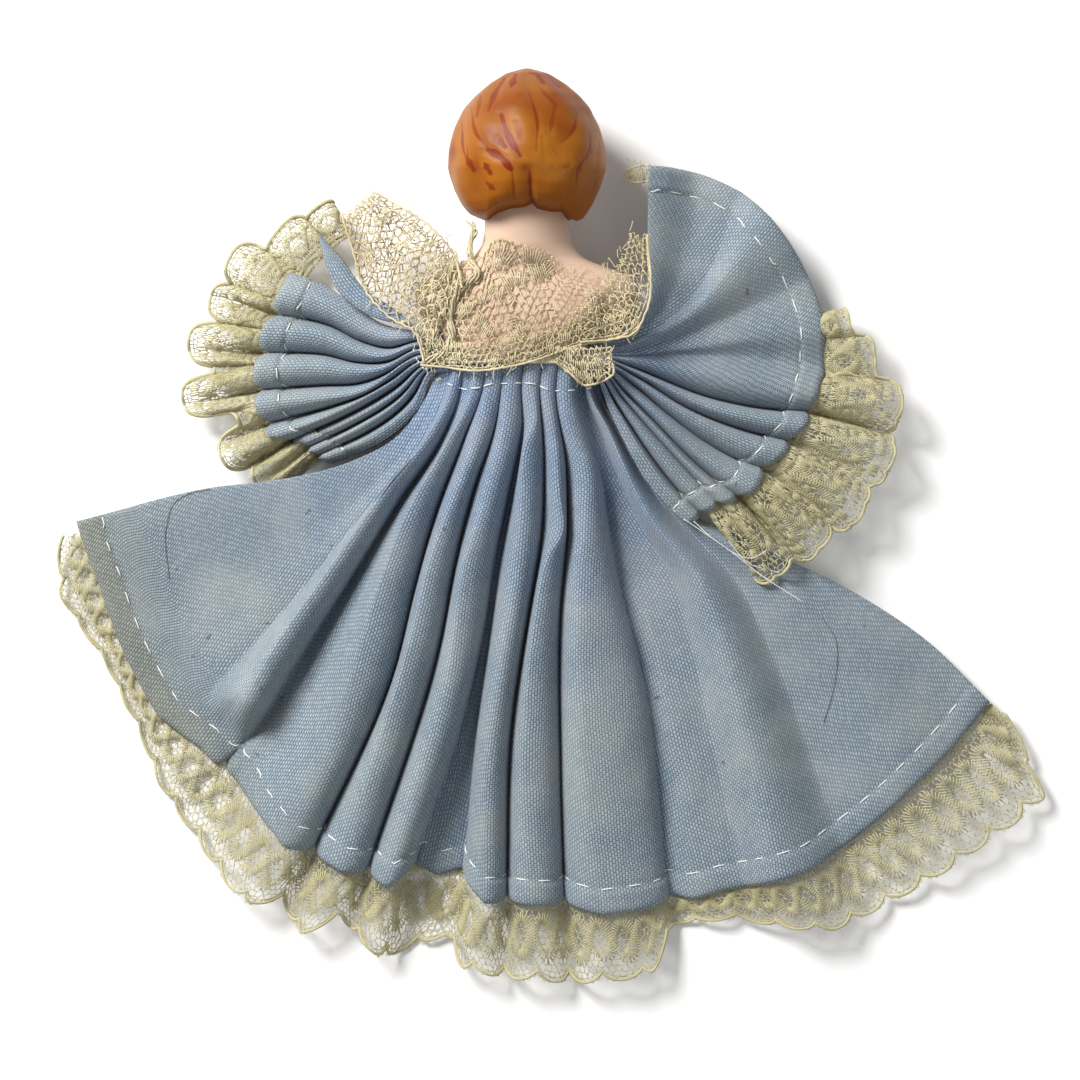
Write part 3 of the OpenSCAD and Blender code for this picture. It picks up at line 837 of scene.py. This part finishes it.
def hem_profile(grid, centre, angle):
    """The hem's radius and height under each angle, from the cloth itself."""
    hem = grid[-1]
    a = np.degrees(np.arctan2(hem[:, 1] - centre[1], hem[:, 0] - centre[0]))
    a = np.where(a < angle.min() - 30, a + 360, a)
    order = np.argsort(a)
    r = np.linalg.norm(hem[:, :2] - centre, axis=1)
    return np.interp(angle, a[order], r[order]), np.interp(angle, a[order], hem[order, 2])


def softened(values, reach):
    kernel = np.hanning(2 * reach + 1)
    return np.convolve(np.pad(values, reach, "edge"), kernel / kernel.sum(), "valid")


def finger_shape(fingers, angle, low, joined):
    """Radius of a fingered edge under each angle, and how far up its rounded folds each is.
    joined is how far out of the hem the fingers hang together."""
    low = mix(low, np.interp(angle, [f[0] for f in fingers], [f[2] for f in fingers]), joined)
    edge, arch = low.copy(), np.zeros(len(angle))
    for middle, half, tip in fingers:
        u = np.clip(np.abs(angle - middle) / half, 0, 1)
        rise = (1 - u**3) ** 0.5
        edge = np.maximum(edge, mix(np.minimum(low, tip), tip, rise))
        arch = np.maximum(arch, np.sqrt(1 - u**2))
    return edge, arch


def lace_ground(grid, centre, angle, r_edge, arch, tuck, rows, out_z, puff, ripple=0.25):
    """A lace flounce from under the hem out to its edge, rounded up over each finger."""
    r_hem, z_hem = hem_profile(grid, centre, angle)
    r_hem, z_hem = softened(r_hem, 5), softened(z_hem, 5)
    b = shares(rows)[:, None]
    r = mix(r_hem - tuck, np.maximum(r_edge, r_hem + 1.5), b)
    under = np.maximum(z_hem - 0.75, 0.25)
    z = mix(under, 0.3 + out_z * under, fade(b, 0, 1)) + puff * arch * fade(b, 0, 0.6)
    z = z + ripple * b * (1.1 + np.sin(angle * 0.9 + 5 * b) + 0.4 * np.sin(angle * 2.3))
    return np.concatenate([polar(centre, angle[None], r), z[..., None]], 2)


def flounce(name, grid, centre, edge, fingers, rim, tuck=3.0, out_z=0.6, puff=0.0, cols=520,
            joined=0.0, **look):
    if fingers:
        angle = np.linspace(fingers[0][0] - fingers[0][1], fingers[-1][0] + fingers[-1][1], cols)
        r_hem, _ = hem_profile(grid, centre, angle)
        r_edge, arch = finger_shape(fingers, angle, softened(r_hem, 12) + 2.4, joined)
        r_edge = softened(r_edge, 3)
    else:
        angle = np.linspace(edge[0][0], edge[-1][0], cols)
        r_edge, arch = softened(table(edge, angle), 3), np.zeros(cols)
    ground = lace_ground(grid, centre, angle, r_edge, arch, tuck, 26, out_z, puff)
    patch = Patch(ground)
    if fingers:
        # three round openings in the close work behind each tip
        middle = np.interp([f[0] for f in fingers], angle, patch.run)
        step = np.interp([f[0] + f[1] * 0.42 for f in fingers], angle, patch.run) - middle
        look["windows"] = [(m + k * d, 0.86 - 0.08 * abs(k), 0.85)
                           for m, d in zip(middle, step) for k in (-1, 0, 1)]
        look["windows"] += [(m, 0.60, 0.9) for m in middle]
    return lace(Threads(name), patch, rim, **look).build(MATERIALS["lace"])


skirt_lace = flounce("skirt_lace_flounce", skirt_grid, SKIRT_CENTRE, SKIRT_EDGE, None,
                     scalloped(6.2, 0.13), out_z=0.75, cols=640)
left_lace = flounce("left_lace_cuff", left_grid, LEFT_CENTRE, None, LEFT_FINGERS,
                    lambda a: 1 + 0 * a, out_z=0.5, puff=1.9, joined=0.45, cloth=0.9,
                    cord=0.24, loops=False, close=0.5)
right_lace = flounce("right_lace_cuff", right_grid, RIGHT_CENTRE, None, RIGHT_FINGERS,
                     scalloped(4.2, 0.03), out_z=0.6, puff=2.4, joined=0.82, cloth=0.7, cord=0.2)


# ---- the bust
SKIN, SKIN_PAINTED_SHADE = linear(206, 178, 156), linear(186, 144, 120)


def make_torso():
    y = np.linspace(25, 51, 110)
    turn = np.linspace(0, 2 * math.pi, 160, endpoint=False)
    half, deep, mid = (s[:, None] for s in torso_sizes(y))
    grid = np.stack([BODY_X + half * np.cos(turn), y[:, None] + 0 * turn,
                     mid + deep * np.sin(turn)], -1)
    inner = []
    for inset, depth in ((0.35, -0.1), (1.6, -0.1), (2.0, 0.4), (2.0, 9.0)):
        ring = grid[0].copy()
        ring[:, 0] = BODY_X + (half[0] - inset) * np.cos(turn)
        ring[:, 2] = mid[0] + (deep[0] - inset) * np.sin(turn)
        ring[:, 1] += depth + 0.1
        inner.append(ring)
    grid = np.concatenate([np.array(inner[::-1]), grid])
    rows, cols = grid.shape[:2]
    # painted shade: the neck darkens where it runs up under the bob
    shade = fade(grid[..., 1], 46, 51)[..., None]
    tint = mix(np.array(SKIN), np.array(SKIN_PAINTED_SHADE), shade)
    return make_mesh("shoulder_bust", grid.reshape(-1, 3), grid_faces(rows, cols, True),
                     MATERIALS["bisque"], None, tint.reshape(-1, 4))


def make_head():
    rows, cols = 216, 440
    s = shares(rows)
    ring = np.array(BOB)
    run = np.r_[0, np.cumsum(np.hypot(np.diff(ring[:, 0]), BOB_R * np.diff(ring[:, 1])))]
    run /= run[-1]
    y, share = (softened(np.interp(s, run, ring[:, k]), 7) for k in (0, 1))
    y[-1], share[-1] = CROWN_Y - 0.1, 0.0
    turn = np.linspace(0, 2 * math.pi, cols, endpoint=False)
    x_off = BOB_R * share[:, None] * np.cos(turn)
    z_off = BOB_R * share[:, None] * np.sin(turn)
    low = 1 - fade(s, 0.0, 0.4)[:, None]
    back = fade(np.sin(turn), -0.1, 0.4)
    yy = y[:, None] + low * back * table(NAPE, x_off)
    # the face is turned to the table: a plain, calm doll's face
    face_y, face_w = 55.0, 7.4
    fy, fx = (yy - face_y) / 7.6, x_off / face_w
    side = np.abs(x_off)
    front = (np.sin(turn) < 0) * np.ones_like(yy)
    skin = front * fade(1.05 - fx**2 - fy**2, 0, 0.12)
    nose = front * 0.9 * np.exp(-(x_off / 1.1) ** 2 - ((yy - 54.6) / 1.4) ** 2)
    cheek = front * 0.35 * np.exp(-((side - 4.2) / 1.8) ** 2 - ((yy - 52.8) / 1.8) ** 2)
    socket = front * 0.35 * np.exp(-((side - 2.9) / 1.2) ** 2 - ((yy - 56.6) / 0.9) ** 2)
    grow = nose + cheek - socket - 0.35 * skin
    # locks modelled in the clay, brush strokes in their grooves, and clouds of glaze over them
    place = np.stack([x_off, yy, z_off], -1)
    stroke, groove, cloud = (np.zeros((rows, cols)) for _ in range(3))
    drawn = [(1.25 * wide, depth, line) for wide, depth, *line in BRUSHED]
    for _ in range(46):
        at, top = rng.uniform(0, 2 * math.pi), rng.uniform(52, 67)
        lean, size = rng.uniform(-0.25, 0.25), rng.uniform(1.5, 5)
        reach = BOB_R * np.interp(top, ring[:, 0], ring[:, 1])
        line = [(reach * math.cos(at + lean * k), top - size * k, reach * math.sin(at + lean * k))
                for k in (0, 0.5, 1)]
        drawn.append((rng.uniform(0.12, 0.3), rng.uniform(0.3, 0.8), line))
    for wide, depth, line in drawn:
        pts = spline(line, shares(24))
        box = np.abs(yy - pts[:, 1].mean()) < np.ptp(pts[:, 1]) / 2 + 2
        if len(line[0]) == 2:
            box &= z_off > 0            # seen flat, from behind the head
        gap = np.sqrt(sum((place[box][:, None, k] - pts[:, k]) ** 2 for k in range(len(line[0]))))
        near, part = gap.min(1), gap.argmin(1) / 23
        edge = wide * (0.45 + 0.55 * np.sin(math.pi * np.clip(part, 0.04, 0.96)) ** 0.7)
        edge = edge * (1 + 0.25 * np.sin(9 * part + 40 * wide))
        stroke[box] = np.maximum(stroke[box], np.clip((edge - near) / 0.16 + 0.5, 0, 1) * depth)
        groove[box] = np.maximum(groove[box], depth * np.exp(-(near / (wide + 0.45)) ** 2))
    for _ in range(170):
        at, high, reach = rng.uniform(0, 2 * math.pi), rng.uniform(48, 70), rng.uniform(0.7, 2.6)
        wide = BOB_R * np.interp(high, ring[:, 0], ring[:, 1])
        far = ((place - [wide * math.cos(at), high, wide * math.sin(at)]) ** 2).sum(-1)
        cloud += rng.uniform(-0.5, 0.7) * np.exp(-far / reach**2)
    hair = 1 - skin
    lock = 0.16 * np.sin(8 * turn + 1.4 * np.sin(0.34 * yy) + 0.5) * fade(s, 0.05, 0.25)[:, None]
    grow = grow + hair * (lock - 0.13 * groove - 0.06 * cloud) * fade(s, 0.0, 0.08)[:, None]
    scale = 1 + grow / BOB_R / np.maximum(share[:, None], 0.3)
    points = np.stack([BODY_X + x_off * scale, yy, BOB_Z + z_off * scale], -1)
    crown, light, deep, paint, glaze = (np.array(linear(*c)) for c in (
        (134, 82, 28), (153, 94, 24), (146, 80, 4), (108, 26, 2), (120, 56, 4)))
    # painted light and shade by height: darker at the hair's lower edge, lightest in the middle,
    # darker again at the crown
    colour = mix(mix(deep, light, fade(yy, 47, 57)[..., None]), crown, fade(yy, 57, 67)[..., None])
    colour = mix(colour, glaze, np.clip(0.15 + cloud, 0, 0.85)[..., None])
    colour = mix(colour, paint, (0.5 * back * (1 - fade(s, 0.02, 0.07)[:, None]))[..., None])
    colour = mix(colour, paint, (stroke * 0.92)[..., None])
    blush = np.exp(-((side - 4.2) / 1.6) ** 2 - ((yy - 53) / 1.5) ** 2)
    face = mix(np.array(SKIN) * np.ones_like(colour), np.array(linear(226, 140, 124)),
               (0.7 * blush)[..., None])
    lips = (side < 1.3) & (np.abs(yy - 51.8) < 0.5 * (1.15 - (x_off / 1.3) ** 2))
    eye = ((side - 2.9) / 0.95) ** 2 + ((yy - 56.6) / 0.5) ** 2 < 1
    iris = ((side - 2.9) / 0.42) ** 2 + ((yy - 56.6) / 0.46) ** 2 < 1
    brow = (np.abs(side - 3) < 1.3) & (np.abs(yy - 58.4 + 0.25 * (side - 3) ** 2) < 0.16)
    for area, shade in ((lips, (178, 52, 48)), (eye, (240, 236, 228)), (iris, (70, 96, 130)),
                        (brow, (150, 84, 44))):
        face = np.where(area[..., None], np.array(linear(*shade)), face)
    colour = mix(colour, face, skin[..., None])
    return make_mesh("painted_head", points.reshape(-1, 3), grid_faces(rows, cols, True),
                     MATERIALS["bisque"], None, colour.reshape(-1, 4))


torso, head = make_torso(), make_head()


def make_tie():
    """The thread wound round the waist over the gathers."""
    tie = Threads("waist_windings")
    turn = np.linspace(0, 2 * math.pi * 4, 420)
    half, deep, mid = torso_sizes(np.array([26.0]))
    pts = np.column_stack([BODY_X + (half + 0.9) * np.cos(turn), 25.4 + 0.33 * turn / (2 * math.pi),
                           mid + (deep + 0.9) * np.sin(turn)])
    ups = unit(pts - np.array([BODY_X, 26, 9.2]))
    tie.add(pts, ups, 0.22, 0.22, 6)
    return tie.build(MATERIALS["tie"])


tie = make_tie()
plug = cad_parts["filler_plug"]
plug.data.materials.clear()
plug.data.materials.append(MATERIALS["paper"])


# ---- lace over the shoulders
def yoke_height(x, y):
    """Height of the lace: just over the gathers and the bust, and falling away beyond it."""
    inside = np.abs(x - BODY_X) / torso_sizes(np.clip(y, 25, 46))[0]
    over = bust_top(x, np.clip(y, 25, 46)) + mix(1.15, 0.5, fade(y, 28, 32))
    left_fall = 13.2 - 0.26 * np.clip(-17 - x, 0, 20)
    right_rise = mix(14.6, 16.4, fade(x, 8, 14))
    beside = np.where(x < BODY_X, left_fall, right_rise)
    laid = np.maximum(over, np.where(inside > 0.6, beside, 0))
    return mix(laid, beside, fade(inside, 0.86, 1.04))


def yoke_ground(bottom, top, rows, cols, ripple=0.14, lift=0.0):
    """A lace ground between a lower and an upper edge curve, laid over the bust."""
    v = shares(cols)
    a, b = spline(bottom, v), spline(top, v)
    xy = mix(a[None], b[None], shares(rows)[:, None, None])
    z = yoke_height(xy[..., 0], xy[..., 1]) + lift
    z = z + ripple * (np.sin(xy[..., 0] * 1.3) + np.sin(xy[..., 1] * 1.1 + xy[..., 0] * 0.6))
    return raised(xy, z)


def yoke_motifs(threads, patch, motifs):
    """Zigzag blocks of close parallel bars between (a share, b share) points."""
    for a0, b0, a1, b1, wide, bow in motifs:
        s = shares(24)
        a = mix(a0, a1, s) * patch.length
        b = np.clip(mix(b0, b1, s) + bow * np.sin(math.pi * s), 0.02, 0.98)
        step = np.sign(np.sin(s * 5 * math.pi))
        half = wide * (0.85 + 0.25 * step)
        satin(threads, patch, a, b, half, 0.36, 0.11, 0.07)


def scattered(count, low, high, wide=0.9):
    """Random motifs between two (a, b) corners given as shares of a patch."""
    out = []
    for _ in range(count):
        a, b = rng.uniform(low[0], high[0]), rng.uniform(low[1], high[1])
        turn = rng.uniform(0, math.pi)
        reach = rng.uniform(0.03, 0.07)
        out.append((a, b, a + reach * math.cos(turn), b + 1.6 * reach * math.sin(turn),
                    wide * rng.uniform(0.6, 1.2), rng.uniform(-0.03, 0.03)))
    return out


def yoke_piece(name, grounds, motifs=(), pitch=1.25, net=0.075, edges=("bottom", "top"),
               frays=0, fine=0.0):
    """Layers of ecru lace, with zigzag blocks on the top one and frayed thread ends."""
    threads = Threads(name)
    for k, ground in enumerate(grounds):
        draw_net(threads, Patch(ground), pitch * (1 + 0.18 * k), net, np.ones_like, 0.97,
                 (0.7, 1.5), 0.5 * k, fine)
    patch = Patch(grounds[-1])
    yoke_motifs(threads, patch, motifs)
    s = shares(140)
    for which in edges:
        wave = 0.012 * np.sin(s * patch.length * 2.2)
        b = 0.012 + np.abs(wave) if which == "bottom" else 0.988 - np.abs(wave)
        run_thread(threads, patch, s * patch.length, b + 0 * s, 0.15, 0.12, 0.05)
    for _ in range(frays):
        a0, b0 = rng.uniform(0, patch.length), rng.choice([0.0, 1.0])
        start, up = patch.at(np.array([a0]), np.array([b0]), 0.05)
        curl = rng.uniform(-1.2, 1.2, 3)
        s = shares(7)[:, None]
        away = np.array([curl[0] * 0.6, (b0 - 0.5) * 2.0 * rng.uniform(0.5, 1.6), 0.1])
        bend = np.array([curl[1], 0.2 * curl[2], 0.0])
        threads.add(start + away * s + bend * s**2 * 0.6, np.repeat(up, 7, 0), 0.055, 0.055)
    return threads.build(MATERIALS["yoke"])


def twisted_fold():
    """The lace's rolled edge down the left of the back: six threads wound together."""
    rope = Threads("yoke_rolled_edge")
    path = [(-20, 25.6), (-17, 27), (-15.9, 29), (-16, 32.8), (-15, 35.9), (-12.9, 38), (-11.9, 39),
            (-12.8, 41), (-12.9, 43.8), (-12.2, 46)]
    s = shares(90)
    xy = spline(path, s)
    z = yoke_height(xy[:, 0], xy[:, 1]) + 0.45
    line = np.column_stack([xy, z])
    along = unit(np.gradient(line, axis=0))
    side = unit(np.cross(along, [0, 0, 1.0]))
    up = unit(np.cross(side, along))
    for k in range(6):
        turn = 2 * math.pi * (k / 6 + 3.4 * s) + 0.5 * np.sin(9 * s + k)
        wide = 0.36 + 0.16 * np.sin(7 * s + 2 * k)
        pts = line + side * (wide * np.cos(turn))[:, None] + up * (0.26 * np.sin(turn))[:, None]
        rope.add(pts, up, 0.13, 0.11)
    for k in range(7):
        end = line[-1] + rng.uniform(-0.3, 0.3, 3)
        t = shares(6)[:, None]
        away = np.array([rng.uniform(-1.6, 1.0), rng.uniform(0.4, 2.0), 0.0])
        curl = np.array([0.4 * rng.normal(), 0, 0])
        rope.add(end + away * t + curl * t**2, np.tile([0, 0, 1.0], (6, 1)), 0.06, 0.06)
    return rope.build(MATERIALS["yoke"])


BACK_MOTIFS = ([(0.34, 0.90, 0.42, 0.84, 1.1, 0.03), (0.47, 0.90, 0.60, 0.80, 1.1, 0.04),
                (0.50, 0.74, 0.58, 0.80, 1.2, 0.0), (0.38, 0.62, 0.48, 0.70, 1.1, 0.04),
                (0.80, 0.26, 0.80, 0.74, 1.5, 0.0)]
               + scattered(12, (0.05, 0.25), (0.45, 0.8)) + scattered(16, (0.05, 0.03), (0.8, 0.4)))
back_bottom = [(-20.6, 25), (-16.5, 24.6), (-12.9, 24.1), (-4.5, 25.2), (3.9, 28), (9.5, 29),
               (13.4, 31)]
back_top = [(-19, 43), (-15, 41.6), (-11.5, 42), (-9, 45), (-6.2, 44.2), (-0.6, 42.4),
            (1.5, 40.2), (6, 38.8), (11.5, 41)]
band_top = [(x, y + 4.4) for x, y in back_bottom]
yoke = yoke_piece("yoke_lace_cloth", [yoke_ground(back_bottom, back_top, 70, 110)], BACK_MOTIFS,
                  pitch=1.2, net=0.075, edges=(), frays=14, fine=0.5)
low_band = yoke_piece("yoke_lower_band", [
    yoke_ground(back_bottom, band_top, 20, 110, lift=k) for k in (0.25, 0.55)],
    scattered(26, (0.02, 0.15), (0.95, 0.85), 0.8), pitch=0.95, net=0.07, edges=("bottom",),
    frays=14)
rolled = twisted_fold()
lobe_bottom = [(-20.2, 25.4), (-21.6, 29.8), (-25.8, 32.4), (-29.4, 36.6), (-31.2, 42.4),
               (-33, 48.6)]
lobe_top = [(-14, 37), (-15.4, 42.4), (-18.3, 46), (-23.9, 49.8), (-28, 52)]
left_shoulder = yoke_piece("left_shoulder_flounce", [
    yoke_ground(lobe_bottom, lobe_top, 50, 70, lift=k, ripple=0.3) for k in (0.0, 0.7, 1.4)],
    scattered(44, (0.05, 0.08), (0.92, 0.9), 1.1), net=0.08, edges=("top", "bottom"), frays=16)
right_bottom = [(4, 28.4), (9.3, 28.9), (12.2, 29.6), (14.2, 33), (14.4, 45)]
right_top = [(3, 33), (5, 36), (7.4, 38.6), (9.6, 41), (11.6, 45.6)]
right_shoulder = yoke_piece("right_shoulder_flounce", [
    yoke_ground(right_bottom, right_top, 30, 60, lift=k, ripple=0.2) for k in (0.3, 0.8)],
    scattered(9, (0.05, 0.1), (0.9, 0.9)), net=0.065, edges=("bottom",), frays=8)


def hanging_end():
    """The ragged end of the yoke lace that hangs over the gathers."""
    s = shares(50)
    top = np.column_stack([np.linspace(-1.4, 9, 50), 27.8 + 0 * s])
    low = spline([(-0.4, 25.4), (2, 23.6), (4.4, 21.6), (6.6, 22), (8.8, 23.4), (8.2, 26)], s)
    b = shares(20)[:, None, None]
    xy = mix(top[None], low[None], b)
    z = 16.4 - 0.9 * b[..., 0] + 0.35 * np.sin(xy[..., 0] * 2.1 + 2) * b[..., 0]
    ground = raised(xy, z)
    motifs = [(0.2, 0.35, 0.8, 0.5, 0.8, 0.1), (0.3, 0.75, 0.72, 0.8, 0.7, 0.0),
              (0.1, 0.2, 0.5, 0.2, 0.6, 0.0)]
    return yoke_piece("yoke_hanging_end", [ground, ground + [0.3, 0.2, 0.35]], motifs, pitch=0.85,
                      net=0.09, edges=("top",), frays=30)


yoke_end = hanging_end()


def sleeve_corner():
    """The bit of lace left at the top corner of the right sleeve."""
    s = shares(24)
    top = spline([(14.8, 56.2), (12.8, 56), (11, 55.2)], s)
    low = spline([(14.6, 53.6), (12.6, 53.4), (10.6, 54)], s)
    xy = mix(low[None], top[None], shares(10)[:, None, None])
    z = 9.4 + 0.25 * np.sin(xy[..., 0] * 3)
    ground = raised(xy, z)
    return yoke_piece("right_sleeve_lace_corner", [ground], [(0.1, 0.4, 0.9, 0.5, 0.8, 0.0)],
                      pitch=0.8, frays=6)


corner = sleeve_corner()


def sliver_flap():
    """The pointed end of the left sleeve's cloth, tucked up between the lace and the pleats."""
    v = shares(40)[:, None]
    outer = spline([(-22, 30.9), (-29, 33), (-33.6, 36.8), (-35.2, 40.4), (-36.6, 45.2)], v[:, 0])
    inner = spline([(-22, 31.6), (-25, 34), (-29.4, 37), (-32.4, 41), (-36.3, 45.6)], v[:, 0])
    s = shares(9)
    xy = mix(outer[:, None], inner[:, None], s[None, :, None])
    z = mix(12.4, 8.6, v) + 0.5 * np.sin(math.pi * s)[None]
    grid = raised(xy, z)
    down, over = np.meshgrid(np.arange(39) * 0.6, np.arange(8) * 0.4, indexing="ij")
    uv = np.stack([over, down], -1)[:, :, None] + np.array([[0, 0], [0.4, 0], [0.4, 0.6], [0, 0.6]])
    # depth 0.5 paints the whole sliver with the slits' painted shade
    return shell("left_sleeve_sliver", grid, CLOTH_T, uv, cloth_tint(grid, np.full(9, 0.5)),
                 MATERIALS["cloth"])


def strays(name, paths, count, radius, material, height):
    """Fine ends lying about; height gives the z of a path along its line."""
    ends = Threads(name)
    for path in paths:
        line = spline([p[:2] for p in path], shares(count))
        ends.add(raised(line, height(path, line)), np.tile([0, 0, 1.0], (count, 1)), radius, radius)
    return ends.build(MATERIALS[material])


def over_skirt(path, line):
    flat = skirt_grid.reshape(-1, 3)
    return flat[np.argmin(((flat[None, :, :2] - line[:, None]) ** 2).sum(2), 1), 2] + 0.12


def own_height(path, line):
    return np.interp(shares(len(line)), shares(len(path)), [p[2] for p in path])


sliver = sliver_flap()
hairs = strays("stray_hairs", [
    [(-60, -8), (-60.4, 0), (-59, 4), (-56.6, 5.4), (-53.4, 6)],
    [(41.6, -13.8), (43.8, -17.6), (44, -20.6), (43.2, -26), (42, -30.4)]],
    30, 0.03, "hair", over_skirt)
loose = strays("right_loose_thread", [
    [(20, 1.4, 10), (27, -3.4, 9.4), (33, -8, 8.6), (38.4, -11.4, 8.4)],
    [(21.6, 1.0, 9.6), (25, -2, 9.4), (31, -4.6, 9), (33, -3.4, 9.4)],
    [(27, -2, 8), (30, -5.4, 8), (35, -7, 7.4)]], 40, 0.05, "white", own_height)


# ---- bodies: pieces on the bust's body, the panels' pieces baked in place, and the CAD parts they replace hidden
def belongs(obj, nodes, body=None, bend=None):
    if bend:
        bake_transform(obj)
    else:
        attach(obj, body)
    if nodes:
        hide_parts(*nodes)


def from_bust(body, start, end):
    return ("bust", body, [c * MM for c in start], [c * MM for c in end])


TO_SKIRT = from_bust("skirt", (-4.5, 24, 9), (-4.5, 12, 9))
TO_LEFT = from_bust("left_sleeve", (-19, 27, 9), (-27, 27, 9))
TO_RIGHT = from_bust("right_sleeve", (6, 27, 9), (15, 27, 9))
for obj, slot, *nodes in (
        (torso, "bisque", "shoulder_head"), (head, "bisque"), (tie, "tie_thread", "waist_tie"),
        (yoke, "yoke_lace", "back_yoke_lace"), (low_band, "yoke_lace"),
        (rolled, "yoke_lace"), (yoke_end, "yoke_lace", "yoke_lace_end")):
    belongs(obj, nodes, "bust")
PARTS = (("blue_cloth", "panel"), ("lace", "lace"), ("white_thread", "hem_thread"),
         ("white_thread", "gather_thread"))
for panel, bent, pieces, others in (
        ("skirt", TO_SKIRT, (skirt, skirt_lace, skirt_hem, skirt_gather),
         [(hairs, "white_thread")]),
        ("left_sleeve", TO_LEFT, (left, left_lace, left_hem, left_gather),
         [(sliver, "blue_cloth"), (left_shoulder, "yoke_lace", "left_shoulder_lace")]),
        ("right_sleeve", TO_RIGHT, (right, right_lace, right_hem, right_gather),
         [(loose, "white_thread"), (corner, "yoke_lace"),
          (right_shoulder, "yoke_lace", "right_shoulder_lace")])):
    for obj, (slot, part) in zip(pieces, PARTS):
        belongs(obj, [f"{panel}_{part}"], bend=bent)
    for obj, slot, *nodes in others:
        belongs(obj, nodes, bend=bent)


# ---- floor, lights and camera
def area_light(name, place, size, power, colour):
    """A round lamp that faces the middle of the floor."""
    data = bpy.data.lights.new(name, "AREA")
    data.shape, data.size, data.energy, data.color = "DISK", size, power, colour
    obj = placed(name, data)
    obj.location = place
    obj.rotation_euler = (-Vector(place)).to_track_quat("-Z", "Y").to_euler()


def studio():
    s = Shader("pale_floor", 0.9)
    floor_mesh = bpy.data.meshes.new("floor")
    reach = 4.0
    corners = [(-reach, -reach, 0), (reach, -reach, 0), (reach, reach, 0), (-reach, reach, 0)]
    floor_mesh.from_pydata(corners, [], [(0, 1, 2, 3)])
    floor_mesh.materials.append(s.finish(s.mix(linear(246, 246, 246), linear(242, 242, 242),
                                               s.noise(12.0, 2.0))))
    floor = placed("floor", floor_mesh)
    world = bpy.data.worlds.new("studio")
    world.use_nodes = True
    sky = world.node_tree.nodes["Background"]
    sky.inputs[0].default_value, sky.inputs[1].default_value = (1, 1, 1, 1), 0.34
    scene.world = world
    area_light("key", (-0.46, 0.46, 0.52), 0.34, 11.5, (1, 0.985, 0.96))
    area_light("fill", (0.5, -0.35, 0.7), 0.5, 1.0, (0.95, 0.97, 1))
    scene.view_settings.view_transform = "Standard"


def camera():
    data = bpy.data.cameras.new("camera")
    data.lens, data.sensor_width = 200, 36
    data.clip_start, data.clip_end = 0.01, 20
    obj = placed("camera", data)
    obj.location = (-2.2 * MM, -1.9 * MM, 0.938)
    scene.camera = obj


studio()
camera()
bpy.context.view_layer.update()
